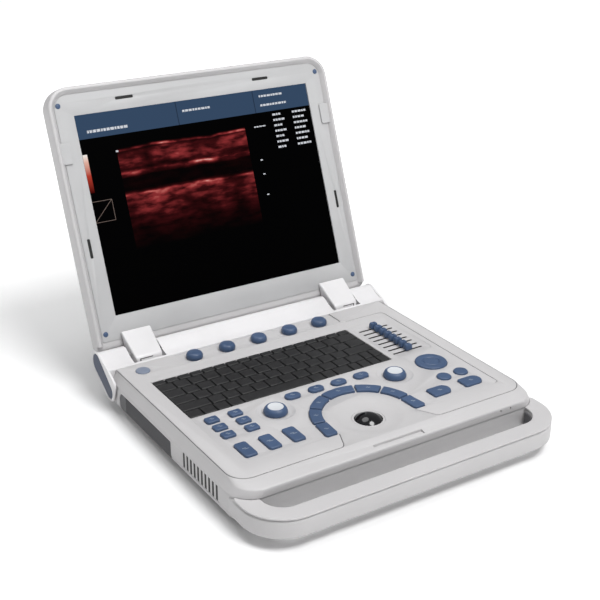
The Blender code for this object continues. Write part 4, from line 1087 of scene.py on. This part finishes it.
class SCANNER_OT_lid(bpy.types.Operator):
    """Lid: rear shell with its raised rim, bezel, corner plugs and pads"""

    bl_idname = "scanner.lid"
    bl_label = "Lid"

    def execute(self, context):
        self.shell()
        self.bezel()
        self.fittings()
        return {"FINISHED"}

    def shell(self):
        proud = BEZEL_FACE - LID_LOW.y
        rim = [(2.2, 0), (1.2, 0.2), (0.5, 0.8), (0.12, 1.7), (0.0, 3.0)]
        rings = [lid_ring(inset * MM, -proud + depth * MM) for inset, depth in rim]
        rings += [lid_ring(0.0, 7.8 * MM * share) for share in (0.0, 0.08, 0.2, 0.4, 0.7)]
        back = LID_HIGH.y - BEZEL_FACE
        round_size = 9 * MM
        steps = 10
        for i in range(steps + 1):
            angle = math.pi / 2 * i / steps
            rings.append(lid_ring(round_size * (1 - math.cos(angle)),
                                  back - round_size + round_size * math.sin(angle)))
        shell = new_object("lid_back", loft(rings))
        tray = lid_outline(8 * MM, 10.8 * MM)
        boolean(shell, sheet([tray], -BEZEL_FACE - back + 3 * MM, -BEZEL_FACE, turn=ALONG_Y))
        rim_top = -proud / MM
        chamfer = ((7.5, 0.4), (7.2, -0.5), (3.9, rim_top + 0.3), (3.1, rim_top - 0.6), (3.1, rim_top - 6))
        slope = []
        for inset, depth in chamfer:
            slope.append([(x, BEZEL_FACE + depth * MM, z) for x, z in lid_outline(inset * MM, -3 * MM)])
        boolean(shell, loft(slope))
        finish_piece(shell, "lid", finish_of("shell"), "shell_grey", "lid_shell", lid=True)

    def bezel(self):
        outer = lid_outline(8.3 * MM, 11.1 * MM)
        inner = rectangle(-SCREEN_HALF, SCREEN_HALF, SCREEN_FOOT, SCREEN_TOP, 0.8 * MM, 4)
        front = -BEZEL_FACE
        bezel = new_object("bezel_frame", sheet([outer, inner], front - 1.8 * MM, front, turn=ALONG_Y))
        cuts = self.bumpers()
        meshes = [sheet([cut], front - 0.9 * MM, front + 3 * MM, turn=ALONG_Y) for cut in cuts]
        boolean(bezel, joined(meshes))
        soften(bezel, 0.35 * MM, 2)
        finish_piece(bezel, "lid", finish_of("bezel"), "bezel_grey", "lid_bezel", lid=True)
        inserts = [sheet([cut], front - 0.88 * MM, front - 0.25 * MM, turn=ALONG_Y)
                   for cut in self.bumpers(0.12 * MM)]
        finish_piece(new_object("bezel_bumpers", joined(inserts)), "lid", finish_of("web"), "key_black",
                     lid=True)

    def bumpers(self, inset=0.0):
        """Outlines of the four narrow bumper slots in the bezel."""
        outlines = []
        a, b = 1.75 * MM - inset, 11 * MM - inset
        for side in (-1, 1):
            outlines.append(moved(rectangle(-b, b, -a, a, a * 0.7, 5), side * 89 * MM, SCREEN_TOP + 13 * MM))
            outlines.append(moved(rectangle(-a, a, -b, b, a * 0.7, 5), side * 165 * MM,
                                  SCREEN_FOOT + 79 * MM))
        return outlines

    def fittings(self):
        """Blue corner plugs and the small raised pads beside the screen."""
        plugs = []
        profile = [(0, 0.9), (1.6, 0.85), (2.5, 0.55), (3.0, 0.0), (3.0, -0.8), (0, -0.8)]
        for x in (-168, 168):
            for z in (SCREEN_TOP + 12.5 * MM, SCREEN_FOOT - 18 * MM):
                plug = turned([(r * MM, h * MM) for r, h in profile], 40)
                plug.transform(ALONG_Y)
                plugs.append(shifted(plug, x * MM, BEZEL_FACE - 0.1 * MM, z))
        finish_piece(new_object("corner_plugs", joined(plugs)), "lid", finish_of("control"), "control_blue",
                     lid=True)
        pads = []
        for side in (-1, 1):
            left, right = span(side, 164.0 * MM, 176.5 * MM)
            outline = rectangle(left, right, SCREEN_FOOT + 174 * MM, SCREEN_FOOT + 198 * MM, 1.6 * MM, 6)
            pads.append(sheet([outline], -BEZEL_FACE - 0.2 * MM, -BEZEL_FACE + 2.4 * MM, 0.5 * MM, 3,
                              ALONG_Y))
        finish_piece(new_object("side_pads", joined(pads)), "lid", finish_of("bezel"), "bezel_grey", lid=True)


class SCANNER_OT_display(bpy.types.Operator):
    """Display with its picture and small lit marks"""

    bl_idname = "scanner.display"
    bl_label = "Display"

    def execute(self, context):
        out = 5 * MM
        outline = rectangle(-SCREEN_HALF - out, SCREEN_HALF + out, SCREEN_FOOT - out, SCREEN_TOP + out,
                            1 * MM, 3)
        front = -PANEL_LOW.y
        panel = new_object("display_face", sheet([outline], front - 7 * MM, front, 0.3 * MM, 2, ALONG_Y))
        finish_piece(panel, "lid", finish_of("picture"), "screen_glass", "display_panel", lid=True)
        marks = []
        for x, z, count, height in self.lines():
            for k in range(count):
                width = (2.2 + (k * 5 + count) % 4 * 0.7) * MM
                mark = [(x, z), (x + width, z), (x + width, z + height), (x, z + height)]
                marks.append(sheet([mark], front + PRINT[0], front + PRINT[1], turn=ALONG_Y))
                x += width + 0.9 * MM
        finish_piece(new_object("screen_marks", joined(marks)), "lid", finish_of("mark"), "screen_glass",
                     lid=True)
        left, right, low, high = -152 * MM, -127.5 * MM, SCREEN_FOOT + 105.5 * MM, SCREEN_FOOT + 129 * MM
        path = [(left, low), (right, low), (right, high), (left, high), (left, low), (right, high)]
        lines = []
        for a, b in zip(path, path[1:]):
            lines.append(sheet([ribbon([a, b], 0.3 * MM)], front + PRINT[0], front + PRINT[1], turn=ALONG_Y))
        finish_piece(new_object("screen_frame", joined(lines)), "lid", finish_of("faint"), "screen_glass",
                     lid=True)
        return {"FINISHED"}

    def lines(self):
        """(left, foot, how many dashes, height) of each row of dashes that stands for a line of text."""
        tall, small = 3.0 * MM, 2.4 * MM
        top = SCREEN_TOP
        rows = [(-140 * MM, top - 21 * MM, 12, tall), (-20 * MM, top - 13 * MM, 9, small)]
        rows += [(84 * MM, top - 9 * MM, 8, tall * 0.8), (84 * MM, top - 20 * MM, 9, tall * 0.8)]
        for i in range(7):
            z = SCREEN_FOOT + (193 - 6.6 * i) * MM
            rows.append((98 * MM, z, 3 + i % 2, small))
            rows.append((126 * MM, z, 4 + (i + 1) % 2, small))
        for z in (182, 142, 125, 100):
            rows.append((70 * MM, SCREEN_FOOT + z * MM, 1 + (z > 150) * 3, small * 0.6))
        rows.append((-111 * MM, SCREEN_FOOT + 179.5 * MM, 1, small * 0.8))
        return rows


class SCANNER_OT_hinge_covers(bpy.types.Operator):
    """White hinge covers with their dark slots"""

    bl_idname = "scanner.hinge_covers"
    bl_label = "Hinge covers"

    def execute(self, context):
        for node in nodes_named("hinge_cover"):
            x, _, half, _ = spot(node)
            side = math.copysign(1, x)
            profile = [(HINGE.y + y, HINGE.z + z) for y, z in self.profile()]
            mesh = sheet([profile], -COVER_HALF, COVER_HALF, 1.8 * MM, 4, ALONG_X)
            rise = max(vertex.co.z for vertex in mesh.vertices) - HINGE.z
            for vertex in mesh.vertices:
                vertex.co.x *= 1 - COVER_TAPER * (rise + HINGE.z - vertex.co.z) / rise
            cover = new_object(node + "_shell", shifted(mesh, x))
            boolean(cover, sheet([circle(4 * MM, 32, HINGE.y, HINGE.z)], x - half, x + half, turn=ALONG_X),
                    "UNION")
            front = HINGE.y - 20 * MM
            z = HINGE.z + 0.6 * MM
            left, right = sorted((x + side * 11.5 * MM, x - side * 4.5 * MM))
            edge_left, edge_right = sorted((x + side * 11.5 * MM, x + side * 10.2 * MM))
            boolean(cover, box((left, front, z), (right, front + 6.5 * MM, z + 1.2 * MM)))
            boolean(cover,
                    box((edge_left, front, z - 3.4 * MM), (edge_right, front + 5.0 * MM, z + 0.5 * MM)))
            fills = [box((left + 0.05 * MM, HINGE.y - 17.0 * MM, z - 0.1 * MM),
                         (right - 0.05 * MM, HINGE.y - 13.2 * MM, z + 1.3 * MM))]
            fills.append(box((edge_left + 0.05 * MM, HINGE.y - 17.3 * MM, z - 3.3 * MM),
                             (edge_right - 0.05 * MM, HINGE.y - 14.9 * MM, z - 0.15 * MM)))
            finish_piece(new_object(node + "_slot", joined(fills)), "lid", finish_of("web"), "key_black")
            finish_piece(cover, "lid", finish_of("white"), "barrel_white", node, angle=40.0)
        return {"FINISHED"}

    def profile(self):
        """Section of a hinge cover at rest, from the hinge axis."""
        def lid_point(height):
            point = LID.to_3x3() @ Vector((0, BEZEL_FACE - 0.3 * MM, height))
            return point.y, point.z

        top = lid_point(BEZEL_LOW.z + 12.0 * MM)
        heel = lid_point(LID_LOW.z + 8.4 * MM)
        nose = 18.9 * MM
        under = [(y, z, 0) for y, z in arc(0, 0, 14.6 * MM, 222, 325, 14)]
        corners = [(*top, 2.4 * MM), (-nose * 0.91, nose * 0.19, 7.5 * MM),
                   (-nose * 0.98, -nose * 0.27, 1.5 * MM)]
        return fillet(corners + under + [(*heel, 0)], 10)


# ---------------------------------------------------------------- controls

class SCANNER_OT_keyboard(bpy.types.Operator):
    """Blank keyboard, its rows of equal keys repeated by Geometry Nodes"""

    bl_idname = "scanner.keyboard"
    bl_label = "Keyboard"

    rows = (
        (0.62, [0.85] * 17),
        (1.0, [1.1] + [1.0] * 12 + [1.4]),
        (1.0, [1.25] + [1.0] * 12 + [1.25]),
        (1.0, [1.5] + [1.0] * 11 + [2.0]),
        (1.0, [2.0] + [1.0] * 10 + [1.1, 0.7, 0.7]),
        (1.0, [1.0, 0.9, 0.9, 0.9, 4.9, 0.95, 0.85, 1.2, 0.7, 0.75, 0.7, 0.75]),
    )

    def key(self, width, depth):
        """Key cap with sloped sides and a flat top, standing on z = 0."""
        levels = ((0.0, 0.75), (1.4, 0.75), (1.9, 1.05), (2.15, 1.45), (2.2, 1.9))
        rings = []
        for z, inset in levels:
            outline = rectangle(inset * MM, width - inset * MM, inset * MM, depth - inset * MM, 1.1 * MM, 3)
            rings.append([(x, y, z * MM) for x, y in outline])
        return loft(rings)

    def execute(self, context):
        left, right, front, rear = KEYS_LOW.x, KEYS_HIGH.x, KEYS_LOW.y, KEYS_HIGH.y
        top = KEYS_HIGH.z - 2.2 * MM
        unit_depth = (rear - front) / sum(height for height, widths in self.rows)
        parts = []
        y = rear
        for height, widths in self.rows:
            depth = height * unit_depth
            unit = (right - left) / sum(widths)
            y -= depth
            x = left
            i = 0
            while i < len(widths):
                run = 1
                while i + run < len(widths) and widths[i + run] == widths[i]:
                    run += 1
                width = widths[i] * unit
                parts.append(repeated(self.key(width, depth), run, (x, y, top), (width, 0, 0)))
                x += width * run
                i += run
        finish_piece(new_object("keys", joined(parts)), "base", finish_of("key"), "key_black", "key_block")
        web = rectangle(left, right, front, rear, 1.2 * MM, 4)
        floor = new_object("keyboard_web", sheet([web], KEYS_LOW.z, top - 0.02 * MM))
        finish_piece(floor, "base", finish_of("web"), "key_black")
        return {"FINISHED"}


class SCANNER_OT_flat_buttons(bpy.types.Operator):
    """Small, long, oval, D-shaped and arch keys with rounded edges"""

    bl_idname = "scanner.flat_buttons"
    bl_label = "Flat buttons"

    def cap(self, node, outline, edge):
        low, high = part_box(node)
        cap = new_object(node + "_cap", sheet([outline], low.z, high.z, edge, 4))
        finish_piece(cap, node, finish_of("control"), "control_blue", node)
        self.mark(node, outline, high.z)

    def mark(self, node, outline, top):
        """Small plain printed dashes in the middle of a key."""
        x = (min(p[0] for p in outline) + max(p[0] for p in outline)) / 2
        y = (min(p[1] for p in outline) + max(p[1] for p in outline)) / 2
        if node.startswith("arch_key"):
            place = Vector((x, y - ARCH_Y)).normalized() * (ARCH_INNER + ARCH_OUTER) / 2
            if y > ARCH_Y + 2 * MM:
                x, y = place.x, ARCH_Y + place.y
        half = (3.4 if node.startswith("long") else 2.2) * MM
        upper = rectangle(x - half, x + half * 0.2, y + 0.3 * MM, y + 1.1 * MM, 0.1 * MM, 2)
        lower = rectangle(x - half * 0.4, x + half, y - 1.2 * MM, y - 0.5 * MM, 0.1 * MM, 2)
        dashes = [sheet([dash], top - 0.1 * MM, top + 0.03 * MM) for dash in (upper, lower)]
        finish_piece(new_object(node + "_mark", joined(dashes)), node, finish_of("print"), "control_blue")

    def execute(self, context):
        edge = sizes().key_round
        for stem, radius in FLAT_NODES.items():
            for node in nodes_named(stem):
                x, y, a, b = spot(node)
                self.cap(node, rectangle(x - a, x + a, y - b, y + b, radius, 9), edge)
        for node in nodes_named("d_key"):
            x, y, a, b = spot(node)
            self.cap(node, moved(d_outline(a, b), x, y), edge)
        for node, outline in zip(nodes_named("arch_key"), arch_key_outlines()):
            self.cap(node, outline, edge * 0.75)
        return {"FINISHED"}


class SCANNER_OT_round_buttons(bpy.types.Operator):
    """Power button, round buttons and the four-way pad"""

    bl_idname = "scanner.round_buttons"
    bl_label = "Round buttons"

    def turned_cap(self, node, profile, finish, slot):
        x, y, half, _ = spot(node)
        low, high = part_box(node)
        shape = [(r * half, high.z - DECK + z * MM) for r, z in profile]
        mesh = turned(shape + [(half, low.z - DECK), (0, low.z - DECK)], 72)
        cap = new_object(node + "_cap", shifted(mesh, x, y, DECK))
        finish_piece(cap, node, finish_of(finish), slot, node)

    def execute(self, context):
        dome = [(0, 0), (0.35, -0.06), (0.65, -0.25), (0.82, -0.5), (0.93, -0.9), (0.985, -1.4), (1.0, -2.0)]
        for node in nodes_named("round_button"):
            self.turned_cap(node, dome, "control", "control_blue")
        self.turned_cap("power_button", dome, "power", "power_blue")
        pad = [(0, -0.1), (0.2, -0.12), (0.36, -0.2), (0.44, -0.4), (0.475, -0.8), (0.49, -1.1),
               (0.515, -1.1)]
        pad += [(0.53, -0.75), (0.56, -0.35), (0.62, -0.1), (0.75, 0), (0.88, -0.1), (0.95, -0.4),
                (0.985, -0.9), (1, -1.6)]
        self.turned_cap("four_way_pad", pad, "control", "control_blue")
        return {"FINISHED"}


class SCANNER_OT_knobs(bpy.types.Operator):
    """Menu knobs under the screen, and rotary knobs with silver caps and grip ribs"""

    bl_idname = "scanner.knobs"
    bl_label = "Knobs"

    def execute(self, context):
        for node in nodes_named("menu_knob"):
            self.menu_knob(node)
        for node in nodes_named("rotary_knob"):
            self.rotary_knob(node)
        return {"FINISHED"}

    def menu_knob(self, node):
        x, y, half, _ = spot(node)
        low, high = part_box(node)
        share = [(0, 0), (0.3, -0.04), (0.52, -0.15), (0.68, -0.4), (0.79, -0.85), (0.87, -1.5), (0.92, -2.2),
                 (0.955, -3.0)]
        share += [(0.985, -3.9), (1.0, -4.6), (1.0, -5.2), (0.985, -6.4), (0.96, -7.4), (0.93, -7.7)]
        profile = [(r * half, high.z + z * MM) for r, z in share]
        profile += [(3.5 * MM, high.z - 7.7 * MM), (3.5 * MM, low.z), (0, low.z)]
        knob = new_object(node + "_cap", shifted(turned(profile), x, y))
        finish_piece(knob, node, finish_of("control"), "control_blue", node)

    def rotary_knob(self, node):
        x, y, half, _ = spot(node)
        low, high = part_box(node)
        share = [(0, -1.35), (0.66, -1.35), (0.665, -0.35), (0.69, -0.08), (0.73, -0.1), (0.78, -0.5),
                 (0.84, -1.2), (0.9, -2.1)]
        share += [(0.945, -3.2), (0.972, -4.4), (0.985, -5.4), (0.985, -6.6), (0.95, -7.5)]
        profile = [(r * half, high.z + z * MM) for r, z in share]
        profile += [(5 * MM, high.z - 7.5 * MM), (5 * MM, low.z), (0, low.z)]
        knob = new_object(node + "_body", shifted(turned(profile, 96), x, y))
        finish_piece(knob, node, finish_of("control"), "control_blue", node)
        cap = [(0, -0.75), (0.3, -0.7), (0.5, -0.5), (0.6, -0.3), (0.64, -0.25), (0.652, -0.45),
               (0.652, -1.3), (0, -1.3)]
        mesh = turned([(r * half, high.z + z * MM) for r, z in cap], 72)
        finish_piece(new_object(node + "_silver_cap", shifted(mesh, x, y)), node, finish_of("silver"),
                     "knob_silver")
        rib = sheet([rectangle(half * 0.95, half * 0.999, -0.35 * MM, 0.35 * MM, 0.15 * MM, 2)],
                    high.z - 7 * MM, high.z - 4.6 * MM, 0.12 * MM, 1)
        ribs = repeated(rib, sizes().knob_ribs, (0, 0, 0), kind="ring")
        finish_piece(new_object(node + "_ribs", shifted(ribs, x, y)), node, finish_of("control"),
                     "control_blue")


class SCANNER_OT_sliders(bpy.types.Operator):
    """Gain sliders with gripped caps, and near-black rims under their slots as painted shade"""

    bl_idname = "scanner.sliders"
    bl_label = "Gain sliders"

    def execute(self, context):
        slot_shade_rims = []
        for node in nodes_named("tgc_slider"):
            x, y, a, b = spot(node)
            low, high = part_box(node)
            height = high.z - DECK
            levels = ((-1.1 * MM, 1.0, 1.0), (height * 0.5, 1.0, 1.0), (height * 0.8, 0.9, 0.93),
                      (height * 0.97, 0.78, 0.84), (height, 0.66, 0.74))
            rings = []
            for z, wide, deep in levels:
                outline = rectangle(-a * wide, a * wide, -b * deep, b * deep, 1.3 * MM * deep, 5)
                rings.append([(x + p, y + q, DECK + z) for p, q in outline])
            cap = new_object(node + "_cap", loft(rings))
            groove = box((x - 0.4 * MM, y - b, high.z - 0.7 * MM), (x + 0.4 * MM, y + b, high.z + 1 * MM))
            boolean(cap, groove)
            soften(cap, 0.25 * MM, 2, 40.0)
            boolean(cap, box((x - 2 * MM, y - 0.65 * MM, low.z), (x + 2 * MM, y + 0.65 * MM, DECK)), "UNION")
            finish_piece(cap, node, finish_of("control"), "control_blue", node)
            # Painted shade: a near-black rim under each slot's edges stands for the shade down in the slot.
            outer = rectangle(106.5 * MM, 147.5 * MM, y - 1.4 * MM, y + 1.4 * MM, 1.1 * MM, 4)
            inner = rectangle(107 * MM, 147 * MM, y - 0.9 * MM, y + 0.9 * MM, 0.8 * MM, 4)
            slot_shade_rims.append(sheet([outer, inner], DECK - 4.6 * MM, DECK - 2.95 * MM))
        finish_piece(new_object("slider_beds", joined(slot_shade_rims)), "base", finish_of("web"), "key_black")
        return {"FINISHED"}


class SCANNER_OT_trackball(bpy.types.Operator):
    """Polished trackball and its ring"""

    bl_idname = "scanner.trackball"
    bl_label = "Trackball"

    def execute(self, context):
        radius = (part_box("trackball")[1].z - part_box("trackball")[0].z) / 2
        mesh = bpy.data.meshes.new("ball")
        bm = bmesh.new()
        bmesh.ops.create_uvsphere(bm, u_segments=96, v_segments=48, radius=radius,
                                  matrix=Matrix.Translation(BALL))
        bm.to_mesh(mesh)
        bm.free()
        finish_piece(new_object("polished_ball", mesh), "trackball", finish_of("ball"), "ball_black",
                     "trackball", angle=80.0)
        low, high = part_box("trackball_ring")
        ring = sheet([circle(17.05 * MM, 96, BALL.x, BALL.y), circle(14.8 * MM, 96, BALL.x, BALL.y)], low.z,
                     high.z, 0.4 * MM, 4)
        finish_piece(new_object("ball_ring", ring), "base", finish_of("shell"), "shell_grey",
                     "trackball_ring")
        return {"FINISHED"}


# ---------------------------------------------------------------- inside, underside and stage

class SCANNER_OT_inside_and_feet(bpy.types.Operator):
    """Board, battery, rubber foot strips and the underside's screws"""

    bl_idname = "scanner.inside_and_feet"
    bl_label = "Inside and feet"

    def execute(self, context):
        for node, finish in (("main_board", "board"), ("battery_pack", "battery")):
            NODES[node].data.materials.clear()
            NODES[node].data.materials.append(finish_of(finish))
        for node in nodes_named("foot"):
            x, y, a, b = spot(node)
            low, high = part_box(node)
            outline = rectangle(x - a, x + a, y - b, y + b, a * 0.9, 10)
            strip = new_object(node + "_strip", sheet([outline], low.z, high.z, 1.0 * MM, 4))
            finish_piece(strip, "base", finish_of("rubber"), "foot_rubber", node)
        profile = [(0, -0.9), (1.2, -0.9), (1.25, -0.35), (2.6, -0.3), (2.9, 0.0), (2.9, 0.6), (0, 0.6)]
        screws = []
        for x in (-120 * MM, 0, 120 * MM):
            screw = turned([(r * MM, z * MM) for r, z in profile], 24)
            screws.append(repeated(screw, 2, (x, COVER_LOW.y + 30 * MM, HOUSING_LOW.z), (0, 210 * MM, 0)))
        finish_piece(new_object("belly_screws", joined(screws)), "base", finish_of("dark"), "grille_dark")
        return {"FINISHED"}


class SCANNER_OT_stage(bpy.types.Operator):
    """Pale floor that glows brighter away from the scanner as painted light, soft studio light and the camera
    """

    bl_idname = "scanner.stage"
    bl_label = "Stage"

    def execute(self, context):
        floor = new_object("floor", box((-60, -60, -0.02), (60, 60, 0)))
        material, tree, shader = new_material("floor_paper")
        place = add_node(tree, "ShaderNodeTexCoord").outputs["Object"]
        noise = add_node(tree, "ShaderNodeTexNoise", {"Vector": place, "Scale": 3.0, "Detail": 3.0})
        tint = ramp(tree, noise.outputs["Fac"], [(0.3, (0.93, 0.93, 0.93)), (0.7, (0.95, 0.95, 0.95))])
        tree.links.new(tint, shader.inputs["Base Color"])
        shader.inputs["Roughness"].default_value = 0.9
        # Painted light: the floor glows, from none near the scanner to bright further out, so the backdrop
        # reads white.
        reach = add_node(tree, "ShaderNodeVectorMath", {0: place}, operation="LENGTH").outputs["Value"]
        painted_floor_glow = ramp(tree, calc(tree, "DIVIDE", reach, 3.0), [(0.08, (0.0,) * 3), (0.32, (0.62,) * 3)])
        tree.links.new(painted_floor_glow, shader.inputs["Emission Color"])
        shader.inputs["Emission Strength"].default_value = 1.0
        floor.data.materials.append(material)
        self.light("key_light", (0.3, -1.15, 2.1), (0, 0, 0.05), 1.1, 42)
        self.light("top_light", (-0.3, 0.5, 2.2), (0, 0, 0.05), 1.4, 16)
        world = bpy.data.worlds.new("studio")
        world.use_nodes = True
        world.node_tree.nodes["Background"].inputs["Color"].default_value = (0.98, 0.99, 1.0, 1.0)
        world.node_tree.nodes["Background"].inputs["Strength"].default_value = 0.30
        context.scene.world = world
        context.scene.view_settings.view_transform = "Standard"
        self.camera(context)
        return {"FINISHED"}

    def light(self, name, place, target, size, power):
        data = bpy.data.lights.new(name, "AREA")
        data.shape = "DISK"
        data.size = size
        data.energy = power
        lamp = bpy.data.objects.new(name, data)
        lamp.location = place
        lamp.rotation_euler = (Vector(target) - Vector(place)).to_track_quat("-Z", "Y").to_euler()
        bpy.context.scene.collection.objects.link(lamp)

    def camera(self, context):
        data = bpy.data.cameras.new("camera")
        data.sensor_width = 36.0
        data.lens = 68.67
        camera = bpy.data.objects.new("camera", data)
        place = Vector((-0.6078, KEYS_HIGH.y + 0.3 * MM - 0.9973, DECK + 0.5762))
        heading = Matrix.Rotation(math.radians(-32.67), 4, "Z")
        turn = heading @ Matrix.Rotation(math.radians(90 - 23.87), 4, "X")
        camera.matrix_world = Matrix.Translation(place) @ turn @ Matrix.Rotation(math.radians(0.41), 4, "Z")
        context.scene.collection.objects.link(camera)
        context.scene.camera = camera


# ---------------------------------------------------------------- panel and registration

PIECES = (
    SCANNER_OT_top_cover,
    SCANNER_OT_lower_housing,
    SCANNER_OT_barrel,
    SCANNER_OT_lid,
    SCANNER_OT_display,
    SCANNER_OT_hinge_covers,
    SCANNER_OT_keyboard,
    SCANNER_OT_flat_buttons,
    SCANNER_OT_round_buttons,
    SCANNER_OT_knobs,
    SCANNER_OT_sliders,
    SCANNER_OT_trackball,
    SCANNER_OT_inside_and_feet,
    SCANNER_OT_stage,
)


class SCANNER_PT_panel(bpy.types.Panel):
    """Lists the scanner's sizes, colours and pieces"""

    bl_label = "Ultrasound scanner"
    bl_space_type = "VIEW_3D"
    bl_region_type = "UI"
    bl_category = "Scanner"

    def draw(self, context):
        for group in (context.scene.scanner_sizes, context.scene.scanner_colours):
            for name in group.bl_rna.properties.keys():
                if name not in ("rna_type", "name"):
                    self.layout.prop(group, name)
        for piece in PIECES:
            self.layout.operator(piece.bl_idname)


CLASSES = (ScannerSizes, ScannerColours, *PIECES, SCANNER_PT_panel)


def register():
    for cls in CLASSES:
        bpy.utils.register_class(cls)
    bpy.types.Scene.scanner_sizes = PointerProperty(type=ScannerSizes)
    bpy.types.Scene.scanner_colours = PointerProperty(type=ScannerColours)


def unregister():
    del bpy.types.Scene.scanner_colours
    del bpy.types.Scene.scanner_sizes
    for cls in reversed(CLASSES):
        bpy.utils.unregister_class(cls)


def main():
    register()
    for piece in PIECES:
        getattr(bpy.ops.scanner, piece.bl_idname.split(".")[1])()


if __name__ == "__main__":
    main()
